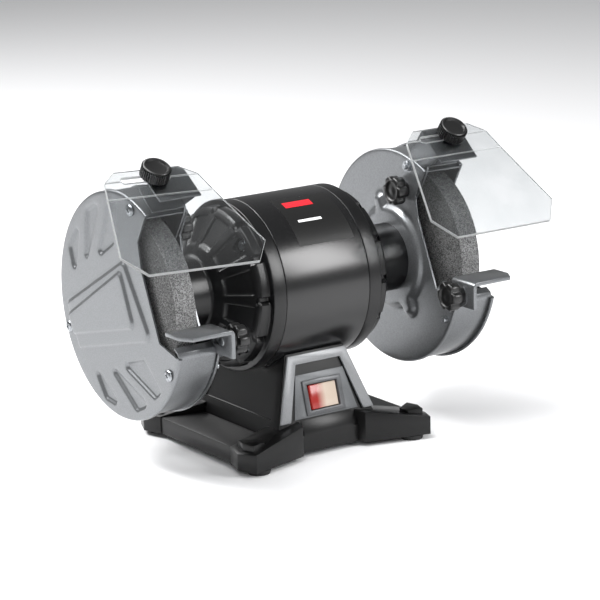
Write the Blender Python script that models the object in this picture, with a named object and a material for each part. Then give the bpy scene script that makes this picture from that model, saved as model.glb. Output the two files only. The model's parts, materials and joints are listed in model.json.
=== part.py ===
"""Bench grinder with two 150 mm wheels: motor on a pedestal base, wheel guards,
eye shields, spark arrestors and tool rests.

Axes: X along the motor shaft, -Y towards the user, +Z up. The origin is the middle of
the base's underside. All sizes are in metres, written as millimetres times MM.
"""

import math

import bmesh
import bpy
from mathutils import Matrix, Vector

MM = 0.001
GAP = 0.3 * MM            # between pieces that touch
RUNNING_GAP = 0.2 * MM    # radial, round the shaft, the bearings and the spindle
SIDES = (("left", -1), ("right", 1))
FINE = 64                 # sides of the large round pieces
ROUND = 32                # of the smaller ones
SMALL = 16                # and of bolts and their holes

# Motor. Lengths along the shaft are measured from the middle of the motor.
MOTOR_R = 68.5 * MM
SHELL_HALF = 39.5 * MM
SHELL_WALL = 2.5 * MM
BELL_RIM = 11.5 * MM      # straight part of the end bell
BELL_DEEP = 19.6 * MM     # from the shell's end to the bell's flat face
BELL_WALL = 3 * MM
BELL_STEP = 4.5 * MM      # from the rim down to the shoulder
BOSS_R = 28 * MM
BOSS_START = SHELL_HALF + BELL_DEEP + 6.9 * MM
BOSS_LONG = 50.5 * MM
CONE_END = BOSS_START + 18 * MM
BEARING_R = 17.5 * MM
BEARING_WIDE = 11 * MM
BEARING_IN = BOSS_START - 4 * MM
STATOR_HALF = 22 * MM
STATOR_BORE = 36 * MM
TIE_BOLT_RING = MOTOR_R - 12.5 * MM
TIE_BOLT_R = 2 * MM
SPOT_FACE_R = 5.5 * MM
TIE_BOLT_ANGLES = (46, 136, 226, 316)
WINDING = (STATOR_BORE + 2.5 * MM, TIE_BOLT_RING - 5 * MM)   # inner and outer radius
WINDING_LONG = 13 * MM

# Base
WALL = 3.5 * MM
SLAB_X = 85 * MM
SLAB_FRONT = 65 * MM
SLAB_CORNER = (27 * MM, 58 * MM)     # where its slanted corners start and end
SLAB_TOP = 14 * MM
FOOT_OUTLINE = ((26, 58), (30, 72), (84, 86.5), (91, 70), (86, 52), (48, 44))
FOOT_TOP = (25 * MM, 15 * MM)      # inner end, outer end
FOOT_PAD_TOP = 20 * MM
FOOT_PAD_SHARE = 0.75
PEDESTAL_TOP = (28.7 * MM, 46.4 * MM, 75.4 * MM)    # half width, half depth, height
PEDESTAL_BOTTOM = (45.8 * MM, 61.2 * MM, 22.5 * MM)
SEAT_Y = 43.88 * MM        # the motor sinks into the pedestal as far as this half width
RUBBER_R = 9.5 * MM
RUBBER_HIGH = 4 * MM
RUBBER_AT = (74 * MM, 74 * MM)
TRIM_DEEP = 2.5 * MM
TRIM_INNER = (21.4 * MM, 35.0 * MM)
TRIM_BAR = 7.5 * MM
SWITCH_MID = 41.5 * MM     # height of the switch's middle
SWITCH_BEZEL = (37 * MM, 28 * MM)
SWITCH_BODY = (31.5 * MM, 23 * MM, 18 * MM)
ROCKER = (28 * MM, 20 * MM)
ROCKER_TILT = 8
GLAND_R = 7.5 * MM
CAPACITOR = (13 * MM, 48 * MM)

# Shaft and wheels
SHAFT_Z = PEDESTAL_TOP[2] + math.sqrt(MOTOR_R ** 2 - SEAT_Y ** 2)
SHAFT_R = 7.5 * MM
SPINDLE_R = 6.35 * MM
WHEEL_R = 75 * MM
WHEEL_WIDTH = 18 * MM
WHEEL_RECESS = 3 * MM
FLANGE_R = 25 * MM
FLANGE_DEEP = 4 * MM
NUT_FLATS = 17 * MM
NUT_HIGH = 4.2 * MM

# Wheel guards
SHEET = 1.5 * MM
PLATE_IN = BOSS_START + BOSS_LONG    # motor side of the guard's inner plate
WHEEL_IN = PLATE_IN + 10.1 * MM      # motor side of the wheel
WHEEL_OUT = WHEEL_IN + WHEEL_WIDTH
COVER_FACE = WHEEL_OUT + NUT_HIGH + 0.7 * MM + SHEET
GUARD_R = WHEEL_R + 12.7 * MM
COVER_R = GUARD_R + 2.5 * MM
COVER_LIP = 3.6 * MM
COVER_BOLT_RING = GUARD_R - 5.2 * MM
COVER_BOLT_ANGLES = (("top", 73), ("front", -29), ("rear", 202))
COVER_BOLT_R = 2.5 * MM
GUARD_PRESS = 4.5 * MM    # how far the plate is pressed out round the motor's neck
GUARD_BOSS_R = (38 * MM, 45 * MM)
OPENING_TOP = 60          # degrees above the front, where the guard's band ends
OPENING_BOTTOM = -16.4    # and where it starts
OPENING_EDGE = ((-32, 55.4), (-35, 38), (-59, -18))
OPENING_DROP = 22 * MM    # its lower edge falls this far before the far corner

# Tool rests
REST_TOP = -4 * MM        # below the shaft's axis
REST_THICK = 3 * MM
REST_IN = PLATE_IN - 3.3 * MM
REST_OUT = WHEEL_OUT + 12.4 * MM
REST_BACK = -WHEEL_R - 3 * MM
REST_FRONT = REST_BACK - 29 * MM
REST_CORNER = (7 * MM, 11 * MM)
REST_FLANGE_DEEP = 22 * MM
REST_BOLT = (REST_BACK - 13 * MM, -15.5 * MM)
REST_TRAVEL = (1.5 * MM, 8 * MM)   # towards the wheel, away from it
TAB = ((28, -8), (-24, -8), (-24, -22), (-11, -29), (20, -29))   # from the wheel's front

# Spark arrestors
ARRESTOR_LIP = (WHEEL_R + 15.67 * MM, 60.6)     # radius, degrees above the front
ARRESTOR_TILT = 40.5      # degrees of the plate below the horizontal
ARRESTOR_LONG = 24 * MM
ARRESTOR_OUT = WHEEL_OUT + 0.4 * MM
ARRESTOR_KNOB = (-18 * MM, 59 * MM)
ARRESTOR_TRAVEL = (2 * MM, 4 * MM)

# Eye shields and their brackets
BRACKET_SHEET = 1.6 * MM
BRACKET_OUT = WHEEL_OUT + 4.4 * MM
SHIELD_THICK = 2.5 * MM
SHIELD_FOLD = (COVER_R + 27.46 * MM, 66.14)     # first fold at no tilt, as the lip above
SHIELD_TOP_WIDE = 55 * MM
SHIELD_FOLD_WIDE = 80 * MM
SHIELD_BOTTOM_WIDE = 93 * MM
SHIELD_FLARE = 0.27
SHIELD_CORNER = 20 * MM
SHIELD_PANELS = ((11 * MM, 29), (17.7 * MM, 35), (79.6 * MM, 33))   # length, slope
SHIELD_SLOT = (6 * MM, -23 * MM, 13 * MM)      # width, left end, right end
SHIELD_STAND = {"left": (-PLATE_IN - 28.3 * MM, 2.0 * MM, 0.0, -3.5),
                "right": (PLATE_IN + 14.5 * MM, 3.5 * MM, 7.0, 0.0)}   # middle, knob, tilt, turn
KNOB_ABOVE_FOLD = 0.6 * MM

# Knobs
STAR_R = 12 * MM
STAR_DEEP = 16 * MM
STAR_NECK = (7 * MM, 7 * MM)                   # radius, length
STAR_LOBES = 6
STAR_NOTCH = 0.17         # share of the radius that the hollows between lobes take
STAR_POINTS = 48
STUD_R = 2.5 * MM
ROUND_KNOB_R = 11.7 * MM
ROUND_KNOB_HIGH = 10.5 * MM


# ---- small tools -------------------------------------------------------------------

def material(name, rgb, rough, metal=0.0, alpha=1.0):
    made = bpy.data.materials.new(name)
    made.use_nodes = True
    shader = made.node_tree.nodes["Principled BSDF"]
    shader.inputs["Base Color"].default_value = (*rgb, 1.0)
    shader.inputs["Roughness"].default_value = rough
    shader.inputs["Metallic"].default_value = metal
    shader.inputs["Alpha"].default_value = alpha
    return made


def add(name, bm, finish, origin=(0, 0, 0)):
    """Makes the object from a bmesh in world coordinates, with its origin at the given point."""
    bmesh.ops.remove_doubles(bm, verts=bm.verts, dist=1e-7)
    bmesh.ops.recalc_face_normals(bm, faces=bm.faces)
    bmesh.ops.translate(bm, verts=bm.verts, vec=-Vector(origin))
    mesh = bpy.data.meshes.new(name)
    bm.to_mesh(mesh)
    bm.free()
    mesh.shade_smooth()
    mesh.set_sharp_from_angle(angle=math.radians(30))
    if finish:
        mesh.materials.append(finish)
    made = bpy.data.objects.new(name, mesh)
    made.location = origin
    bpy.context.scene.collection.objects.link(made)
    return made


def tool(bm):
    """A cutter or a piece to be joined: it is hidden and is not a part itself."""
    made = add("tool", bm, None)
    made.hide_render = True
    made.display_type = "WIRE"
    return made


def combine(target, bm, operation):
    modifier = target.modifiers.new(operation.lower(), "BOOLEAN")
    modifier.operation = operation
    modifier.solver = "EXACT"
    modifier.object = tool(bm)
    return modifier.object


def cut(target, bm):
    return combine(target, bm, "DIFFERENCE")


def join(target, bm):
    return combine(target, bm, "UNION")


def prism(outline, low, high, axes="xyz"):
    """A prism: outline points lie along the first two axes, low and high along the third."""
    order = ["xyz".index(a) for a in axes]
    bm = bmesh.new()
    rings = []
    for level in (low, high):
        ring = []
        for index, (a, b) in enumerate(outline):
            point = [0, 0, 0]
            point[order[0]], point[order[1]] = a, b
            point[order[2]] = level(a, b) if callable(level) else level
            ring.append(bm.verts.new(point))
        rings.append(ring)
    count = len(outline)
    for i in range(count):
        j = (i + 1) % count
        bm.faces.new((rings[0][i], rings[0][j], rings[1][j], rings[1][i]))
    bm.faces.new(rings[0])
    bm.faces.new(rings[1])
    return bm


def block(low, high):
    outline = ((low[0], low[1]), (high[0], low[1]), (high[0], high[1]), (low[0], high[1]))
    return prism(outline, low[2], high[2])


def circle(radius, middle=(0, 0), count=ROUND, lobes=0, depth=0.0):
    points = []
    for i in range(count):
        angle = 2 * math.pi * i / count
        r = radius * (1 - depth * (0.5 - 0.5 * math.cos(lobes * angle)))
        points.append((middle[0] + r * math.cos(angle), middle[1] + r * math.sin(angle)))
    return points


def slot(start, end, radius, count=8):
    """A round-ended slot's outline, from start to end."""
    way = math.atan2(end[1] - start[1], end[0] - start[0])
    points = []
    for middle, turn in ((end, way - math.pi / 2), (start, way + math.pi / 2)):
        for i in range(count + 1):
            angle = turn + math.pi * i / count
            points.append((middle[0] + radius * math.cos(angle),
                           middle[1] + radius * math.sin(angle)))
    return points


def turned(profile, middle=(0, 0), count=ROUND):
    """Turns a closed profile of (x, radius) points about an axis along X through middle."""
    bm = bmesh.new()
    rings = []
    for x, r in profile:
        if r == 0:
            rings.append([bm.verts.new((x, *middle))] * count)
            continue
        rings.append([bm.verts.new((x, middle[0] + r * math.cos(2 * math.pi * i / count),
                                    middle[1] + r * math.sin(2 * math.pi * i / count)))
                      for i in range(count)])
    for k, ring in enumerate(rings):
        other = rings[(k + 1) % len(rings)]
        if profile[k][1] == 0 and profile[(k + 1) % len(rings)][1] == 0:
            continue
        for i in range(count):
            j = (i + 1) % count
            corners = list(dict.fromkeys((ring[i], ring[j], other[j], other[i])))
            bm.faces.new(corners)
    return bm


def mirror_x(profile, sign):
    return [(sign * x, r) for x, r in profile]


def rod(x0, x1, radius, middle, count=SMALL):
    return turned(((x0, 0), (x0, radius), (x1, radius), (x1, 0)), middle, count)


def placed(bm, matrix):
    bmesh.ops.transform(bm, matrix=matrix, verts=bm.verts)
    return bm


def merged(*parts):
    """Several closed shapes in one bmesh, used as one cutter."""
    whole = bmesh.new()
    for part in parts:
        mesh = bpy.data.meshes.new("merge")
        part.to_mesh(mesh)
        part.free()
        whole.from_mesh(mesh)
        bpy.data.meshes.remove(mesh)
    return whole


def ring_point(radius, degrees):
    """A point around the shaft as (y, z): 0 degrees is the front, 90 is the top."""
    angle = math.radians(degrees)
    return (-radius * math.cos(angle), SHAFT_Z + radius * math.sin(angle))


def bracket_pivot():
    """The top cover bolt, on which the shield's bracket and the arrestor are held."""
    return ring_point(COVER_BOLT_RING, COVER_BOLT_ANGLES[0][1])


def bracket_faces():
    """Distance from the middle of the bracket's cheek: its motor side and its wheel side."""
    wheel_side = PLATE_IN - 2 * GAP - SHEET
    return wheel_side - BRACKET_SHEET, wheel_side


def beside(point):
    """A (y, z) point given from the shaft's axis, in world heights."""
    return (point[0], SHAFT_Z + point[1])


# ---- finishes ----------------------------------------------------------------------

def finishes():
    return {
        "black_gloss": material("black_gloss_paint", (0.02, 0.02, 0.022), 0.18),
        "black_satin": material("black_moulded_housing", (0.03, 0.03, 0.032), 0.45),
        "silver": material("silver_painted_sheet", (0.42, 0.43, 0.44), 0.38, 0.6),
        "steel": material("steel", (0.6, 0.6, 0.61), 0.3, 1.0),
        "zinc": material("zinc_plated_steel", (0.62, 0.63, 0.64), 0.28, 1.0),
        "copper": material("enamelled_copper", (0.55, 0.22, 0.08), 0.35, 0.8),
        "lamination": material("silicon_steel", (0.3, 0.31, 0.33), 0.5, 0.9),
        "abrasive": material("grey_abrasive", (0.2, 0.2, 0.2), 0.95),
        "clear": material("clear_plastic", (0.85, 0.88, 0.88), 0.08, 0.0, 0.3),
        "knob": material("black_plastic", (0.015, 0.015, 0.016), 0.4),
        "rubber": material("rubber", (0.02, 0.02, 0.02), 0.8),
        "red": material("red_translucent", (0.7, 0.08, 0.06), 0.25),
        "trim": material("silver_plastic", (0.5, 0.51, 0.52), 0.35, 0.5),
    }


# ---- base --------------------------------------------------------------------------

def pedestal_at(height):
    """Half width and half depth of the pedestal at a height: its four sides slope."""
    low, high = PEDESTAL_BOTTOM, PEDESTAL_TOP
    share = (height - low[2]) / (high[2] - low[2])
    return tuple(low[i] + share * (high[i] - low[i]) for i in (0, 1))


def pedestal(low, high, inset):
    bm = bmesh.new()
    rings = []
    for height in (low, high):
        half_x, half_y = (size - inset for size in pedestal_at(height))
        rings.append([bm.verts.new((sx * half_x, sy * half_y, height))
                      for sx, sy in ((-1, -1), (1, -1), (1, 1), (-1, 1))])
    for i in range(4):
        j = (i + 1) % 4
        bm.faces.new((rings[0][i], rings[0][j], rings[1][j], rings[1][i]))
    bm.faces.new(rings[0])
    bm.faces.new(rings[1])
    return bm


def slab_outline(inset):
    quarter = ((SLAB_CORNER[0] - inset, SLAB_FRONT - inset),
               (SLAB_X - inset, SLAB_CORNER[1] - inset))
    return [(sx * x, sy * y) for sx, sy, points in ((1, 1, quarter), (1, -1, quarter[::-1]),
            (-1, -1, quarter), (-1, 1, quarter[::-1])) for x, y in points]


def front_frame():
    """The pedestal's sloping front face: origin at the switch's middle, axes X, up, outwards."""
    high, low = Vector((0, -PEDESTAL_TOP[1], PEDESTAL_TOP[2])), Vector(
        (0, -PEDESTAL_BOTTOM[1], PEDESTAL_BOTTOM[2]))
    up = (high - low).normalized()
    right = Vector((1, 0, 0))
    out = right.cross(up)
    middle = low + up * ((SWITCH_MID - low.z) / up.z)
    matrix = Matrix((right, up, out)).transposed().to_4x4()
    matrix.translation = middle
    return matrix


def base_parts(m):
    foot = [(x * MM, y * MM) for x, y in FOOT_OUTLINE]
    inner_x, outer_x = foot[1][0], foot[2][0]

    def foot_top(x, y):
        share = (abs(x) - inner_x) / (outer_x - inner_x)
        return FOOT_TOP[0] + share * (FOOT_TOP[1] - FOOT_TOP[0])

    def pad_top(x, y):
        share = (abs(x) - inner_x) / (outer_x - inner_x)
        return FOOT_TOP[0] + share * (FOOT_PAD_TOP - FOOT_TOP[0])

    middle = (sum(p[0] for p in foot) / len(foot), sum(p[1] for p in foot) / len(foot))
    pad = [(middle[0] + (x - middle[0]) * FOOT_PAD_SHARE,
            middle[1] + (y - middle[1]) * FOOT_PAD_SHARE) for x, y in foot]

    housing = add("base_housing", prism(slab_outline(0), 0, SLAB_TOP), m["black_satin"])
    join(housing, pedestal(SLAB_TOP - MM, PEDESTAL_TOP[2] + 8 * MM, 0))
    for sx in (-1, 1):
        for sy in (-1, 1):
            join(housing, prism([(sx * x, sy * y) for x, y in foot], 0, foot_top))
            join(housing, prism([(sx * x, sy * y) for x, y in pad], 5 * MM, pad_top))
    motor_seat = rod(-SLAB_X, SLAB_X, MOTOR_R + GAP, (0, SHAFT_Z), FINE)
    cut(housing, motor_seat)
    cut(housing, prism(slab_outline(WALL), -MM, SLAB_TOP - WALL))
    hollow = pedestal(SLAB_TOP - WALL - MM, PEDESTAL_TOP[2], WALL)
    hollow_tool = cut(housing, hollow)
    cut(hollow_tool, rod(-SLAB_X, SLAB_X, MOTOR_R + GAP + WALL, (0, SHAFT_Z), FINE))
    front = front_frame()
    rocker_hole = block((-SWITCH_BODY[0] / 2 - GAP, -SWITCH_BODY[1] / 2 - GAP, -40 * MM),
                        (SWITCH_BODY[0] / 2 + GAP, SWITCH_BODY[1] / 2 + GAP, 10 * MM))
    cut(housing, placed(rocker_hole, front))
    wire_hole = rod(0, 20 * MM, 5 * MM, (0, 0))
    cut(housing, placed(wire_hole, Matrix.Translation((0, 0, SHAFT_Z - MOTOR_R - 10 * MM))
                        @ Matrix.Rotation(-math.pi / 2, 4, "Y")))
    gland_at = Matrix.Translation((0, SLAB_FRONT, SLAB_TOP / 2 + MM)) @ Matrix.Rotation(
        math.pi / 2, 4, "Z")
    cut(housing, placed(rod(-20 * MM, 10 * MM, 4.5 * MM, (0, 0)), gland_at))

    plate_inset = WALL + GAP
    add("base_plate", prism(slab_outline(plate_inset), 0, SHEET), m["zinc"])
    for name, sx, sy in (("front_left", -1, -1), ("front_right", 1, -1),
                         ("rear_left", -1, 1), ("rear_right", 1, 1)):
        spot = (sx * RUBBER_AT[0], sy * RUBBER_AT[1])
        round_foot = prism(circle(RUBBER_R, spot), -RUBBER_HIGH, -GAP)
        add("rubber_foot_" + name, round_foot, m["rubber"])

    trim_parts(front, m)
    gland = turned(((GAP, 4.9 * MM), (GAP, 10 * MM), (3 * MM, 10 * MM), (5 * MM, GLAND_R),
                    (16 * MM, 5.5 * MM), (16 * MM, 3.5 * MM), (0, 3.5 * MM),
                    (-6 * MM, 3.5 * MM), (-6 * MM, 4.2 * MM), (GAP, 4.2 * MM)), count=24)
    add("cord_gland", placed(gland, gland_at), m["rubber"])
    capacitor = turned(((-CAPACITOR[1] / 2, 0), (-CAPACITOR[1] / 2, CAPACITOR[0]),
                        (CAPACITOR[1] / 2, CAPACITOR[0]), (CAPACITOR[1] / 2, 0)),
                       (32 * MM, SHEET + GAP + CAPACITOR[0] + 2 * MM), 24)
    add("run_capacitor", capacitor, m["trim"])


def trim_parts(front, m):
    """The silver frame round the switch, the switch's body and its rocker."""
    up_scale = front.to_3x3() @ Vector((0, 1, 0))
    top = (PEDESTAL_TOP[2] - SWITCH_MID) / up_scale.z
    bottom = (FOOT_TOP[0] + GAP - SWITCH_MID) / up_scale.z
    wide_top, wide_bottom = PEDESTAL_TOP[0] - MM, PEDESTAL_BOTTOM[0] - MM
    in_top, in_bottom = TRIM_INNER
    outline = ((-wide_top, top), (-wide_bottom, bottom), (-in_bottom, bottom),
               (-in_top, top - TRIM_BAR), (in_top, top - TRIM_BAR), (in_bottom, bottom),
               (wide_bottom, bottom), (wide_top, top))
    add("front_trim", placed(prism(outline, GAP, TRIM_DEEP), front), m["trim"])
    bezel = block((-SWITCH_BEZEL[0] / 2, -SWITCH_BEZEL[1] / 2, GAP),
                  (SWITCH_BEZEL[0] / 2, SWITCH_BEZEL[1] / 2, 2.4 * MM))
    switch = add("switch_housing", placed(bezel, front), m["knob"])
    body = block((-SWITCH_BODY[0] / 2, -SWITCH_BODY[1] / 2, -SWITCH_BODY[2]),
                 (SWITCH_BODY[0] / 2, SWITCH_BODY[1] / 2, MM))
    join(switch, placed(body, front))
    well = block((-ROCKER[0] / 2 - GAP, -ROCKER[1] / 2 - GAP, -9 * MM),
                 (ROCKER[0] / 2 + GAP, ROCKER[1] / 2 + GAP, 9 * MM))
    cut(switch, placed(well, front))
    half, rise = ROCKER[0] / 2 - 0.6 * MM, math.tan(math.radians(ROCKER_TILT)) * ROCKER[0] / 2
    side = ((-half, -1.5 * MM), (0, -6 * MM), (half, -1.5 * MM), (half, 2 * MM - rise / 2),
            (0, 1.5 * MM), (-half, 2 * MM + rise))
    rocker = prism(side, -ROCKER[1] / 2 + GAP, ROCKER[1] / 2 - GAP, "xzy")
    add("switch_rocker", placed(rocker, front), m["red"], front.translation)


# ---- motor -------------------------------------------------------------------------

def motor_parts(m):
    axis = (0, SHAFT_Z)
    shell_in = MOTOR_R - SHELL_WALL
    shell = ((-SHELL_HALF, shell_in), (-SHELL_HALF, MOTOR_R), (SHELL_HALF, MOTOR_R),
             (SHELL_HALF, shell_in))
    add("motor_shell", turned(shell, axis, FINE), m["black_gloss"])
    stator_r = shell_in - GAP
    stator = add("stator_core", turned(((-STATOR_HALF, STATOR_BORE), (-STATOR_HALF, stator_r),
                                        (STATOR_HALF, stator_r), (STATOR_HALF, STATOR_BORE)),
                                       axis, FINE), m["lamination"])
    bolt_spots = [ring_point(TIE_BOLT_RING, angle) for angle in TIE_BOLT_ANGLES]
    bolt_hole_r = TIE_BOLT_R + GAP
    reach = BOSS_START
    bell_face = SHELL_HALF + GAP + BELL_DEEP

    def tie_holes():
        return merged(*[rod(-reach, reach, bolt_hole_r, spot) for spot in bolt_spots])

    cut(stator, tie_holes())
    for side, sign in SIDES:
        start = SHELL_HALF + GAP
        rim = start + BELL_RIM
        inner = MOTOR_R - BELL_WALL
        seat_r, seat_end = BEARING_R + RUNNING_GAP, BEARING_IN + BEARING_WIDE + GAP
        shoulder = MOTOR_R - BELL_STEP
        neck_end = PLATE_IN - GUARD_PRESS - GAP
        pocket = BEARING_IN + 8 * MM
        profile = ((start, inner), (start, MOTOR_R), (rim, MOTOR_R), (rim + MM, shoulder),
                   (bell_face, shoulder - 0.5 * MM), (bell_face + 1.6 * MM, shoulder - 2.5 * MM),
                   (CONE_END - 2 * MM, BOSS_R + 1.5 * MM), (CONE_END, BOSS_R),
                   (neck_end, BOSS_R), (neck_end, 12 * MM), (seat_end, 12 * MM),
                   (seat_end, seat_r), (BEARING_IN - GAP, seat_r),
                   (BEARING_IN - GAP, BEARING_R + 4 * MM), (pocket, BEARING_R + 5 * MM),
                   (pocket, BOSS_R + 10.5 * MM),
                   (bell_face + 2.6 * MM, TIE_BOLT_RING - 9.5 * MM),
                   (bell_face - BELL_WALL, TIE_BOLT_RING - 7 * MM),
                   (bell_face - BELL_WALL, MOTOR_R - 10.5 * MM),
                   (rim + 1.4 * MM, MOTOR_R - 6.5 * MM), (rim - MM, inner))
        bell = add("end_bell_" + side, turned(mirror_x(profile, sign), axis, FINE),
                   m["black_gloss"])
        cut(bell, tie_holes())
        cut(bell, merged(*[rod(sign * bell_face, sign * CONE_END, SPOT_FACE_R, spot)
                           for spot in bolt_spots]))
        coil_start = STATOR_HALF + GAP
        coil = ((coil_start, WINDING[0]), (coil_start, WINDING[1]),
                (coil_start + WINDING_LONG, WINDING[1] - 2 * MM),
                (coil_start + WINDING_LONG, WINDING[0] + 2 * MM))
        add("winding_" + side, turned(mirror_x(coil, sign), axis), m["copper"])
        ring = ((BEARING_IN, SHAFT_R + RUNNING_GAP), (BEARING_IN, BEARING_R),
                (BEARING_IN + BEARING_WIDE, BEARING_R),
                (BEARING_IN + BEARING_WIDE, SHAFT_R + RUNNING_GAP))
        add("bearing_" + side, turned(mirror_x(ring, sign), axis), m["steel"])
    for number, spot in enumerate(bolt_spots, 1):
        face = bell_face + 0.4 * MM
        bolt = ((-face, 0), (-face, TIE_BOLT_R), (face, TIE_BOLT_R), (face, 4 * MM),
                (face + 2.6 * MM, 3.4 * MM), (face + 2.6 * MM, 0))
        add(f"tie_bolt_{number}", turned(bolt, spot, SMALL), m["zinc"])


def rotor_parts(m):
    axis = (0, SHAFT_Z)
    middle = (0, 0, SHAFT_Z)
    bore = SPINDLE_R + RUNNING_GAP
    hub_in = PLATE_IN + SHEET + 0.8 * MM
    flange_in = WHEEL_IN - GAP - FLANGE_DEEP
    recess = WHEEL_OUT - WHEEL_RECESS
    nut_in = WHEEL_OUT
    end = nut_in + NUT_HIGH
    core_half, core_r, core_bore = STATOR_HALF, STATOR_BORE - 0.6 * MM, SHAFT_R + 0.7 * MM
    shaft = [(-end, 0), (-end, SPINDLE_R), (-hub_in + GAP, SPINDLE_R), (-hub_in + GAP, SHAFT_R),
             (hub_in - GAP, SHAFT_R), (hub_in - GAP, SPINDLE_R), (end, SPINDLE_R), (end, 0)]
    add("rotor_shaft", turned(shaft, axis), m["steel"], middle)
    core = ((-core_half, core_bore), (-core_half, core_r), (core_half, core_r),
            (core_half, core_bore))
    add("rotor_core", turned(core, axis, FINE), m["lamination"], middle)
    for side, sign in SIDES:
        wheel = ((WHEEL_IN, bore), (WHEEL_IN, WHEEL_R), (WHEEL_OUT, WHEEL_R),
                 (WHEEL_OUT, FLANGE_R + 3 * MM), (recess, FLANGE_R + 3 * MM), (recess, bore))
        add("grinding_wheel_" + side, turned(mirror_x(wheel, sign), axis, FINE), m["abrasive"],
            middle)
        inner = ((hub_in, bore), (hub_in, 11 * MM), (flange_in, 11 * MM), (flange_in, FLANGE_R),
                 (WHEEL_IN - GAP, FLANGE_R), (WHEEL_IN - GAP, bore))
        add("inner_flange_" + side, turned(mirror_x(inner, sign), axis), m["zinc"], middle)
        outer = ((recess + GAP, bore), (recess + GAP, FLANGE_R), (WHEEL_OUT - GAP, FLANGE_R),
                 (WHEEL_OUT - GAP, bore))
        add("outer_flange_" + side, turned(mirror_x(outer, sign), axis), m["zinc"], middle)
        flats = circle(NUT_FLATS / math.sqrt(3), axis, 6)
        nut = prism(flats, sign * nut_in, sign * (nut_in + NUT_HIGH), "yzx")
        nut = add("wheel_nut_" + side, nut, m["zinc"], middle)
        cut(nut, rod(sign * (nut_in - MM), sign * (nut_in + NUT_HIGH + MM),
                     SPINDLE_R + RUNNING_GAP, axis, ROUND))


# ---- wheel guards ------------------------------------------------------------------

def opening_outline():
    """The front opening of a guard, seen along X, as (y, z): a cut through plate and band."""
    edge = [beside((y * MM, z * MM)) for y, z in OPENING_EDGE]
    edge.append(ring_point(COVER_R, OPENING_BOTTOM))
    far = 2 * COVER_R
    angle = math.radians(OPENING_TOP)
    top = (edge[0][0] - far * math.cos(angle), edge[0][1] + far * math.sin(angle))
    return edge + [(-far, edge[3][1] - OPENING_DROP), (-far, top[1]), top]


def bolt_holes(sign):
    """Cutter for the three cover bolts of one guard."""
    return merged(*[rod(sign * (PLATE_IN - 6 * MM), sign * (COVER_FACE + 9 * MM), COVER_BOLT_R + GAP,
                        ring_point(COVER_BOLT_RING, degrees))
                    for name, degrees in COVER_BOLT_ANGLES])


def guard_parts(m):
    axis = (0, SHAFT_Z)
    cover_in = COVER_FACE - SHEET
    band_end = cover_in - GAP
    plate_out = PLATE_IN + SHEET
    for side, sign in SIDES:
        boss_in, boss_out = GUARD_BOSS_R
        profile = ((PLATE_IN - GUARD_PRESS, 14 * MM), (PLATE_IN - GUARD_PRESS, boss_in),
                   (PLATE_IN, boss_out), (PLATE_IN, GUARD_R - 2 * MM), (plate_out, GUARD_R),
                   (band_end, GUARD_R), (band_end, GUARD_R - SHEET),
                   (plate_out, GUARD_R - SHEET), (plate_out, boss_out - 0.9 * MM),
                   (plate_out - GUARD_PRESS, boss_in - 0.9 * MM),
                   (plate_out - GUARD_PRESS, 14 * MM))
        guard = add("wheel_guard_" + side, turned(mirror_x(profile, sign), axis, FINE),
                    m["silver"])
        opening = (opening_outline(), sign * (PLATE_IN - 15 * MM), sign * (COVER_FACE + 15 * MM))
        cut(guard, prism(*opening, "yzx"))
        tab = [beside((y * MM - WHEEL_R, z * MM)) for y, z in TAB]
        join(guard, prism(tab, sign * PLATE_IN, sign * plate_out, "yzx"))
        cover_profile = ((cover_in, 0), (cover_in, COVER_R - SHEET),
                         (cover_in - COVER_LIP, COVER_R - SHEET),
                         (cover_in - COVER_LIP, COVER_R), (COVER_FACE - MM, COVER_R),
                         (COVER_FACE, COVER_R - MM), (COVER_FACE, 0))
        cover = add("guard_cover_" + side, turned(mirror_x(cover_profile, sign), axis, FINE),
                    m["silver"])
        cut(cover, prism(*opening, "yzx"))

        for name, degrees in COVER_BOLT_ANGLES:
            spot = ring_point(COVER_BOLT_RING, degrees)
            head, nut_at = COVER_FACE + GAP, PLATE_IN - GAP
            if name == "top":
                nut_at = bracket_faces()[0] - GAP
            bolt = ((nut_at - 3.6 * MM, 0), (nut_at - 3.6 * MM, 4.2 * MM), (nut_at, 4.2 * MM),
                    (nut_at, COVER_BOLT_R), (head, COVER_BOLT_R), (head, 4.6 * MM),
                    (head + 1.4 * MM, 4.2 * MM), (head + 2.2 * MM, 2.6 * MM),
                    (head + 2.4 * MM, 0))
            add(f"cover_bolt_{side}_{name}", turned(mirror_x(bolt, sign), spot, SMALL),
                m["zinc"])
        cut(cover, bolt_holes(sign))
        studs = [rod(sign * (PLATE_IN - 6 * MM), sign * WHEEL_IN, STUD_R + GAP, beside(spot))
                 for spot in (REST_BOLT, ARRESTOR_KNOB)]
        cut(guard, merged(bolt_holes(sign), *studs))


# ---- tool rests --------------------------------------------------------------------

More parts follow.
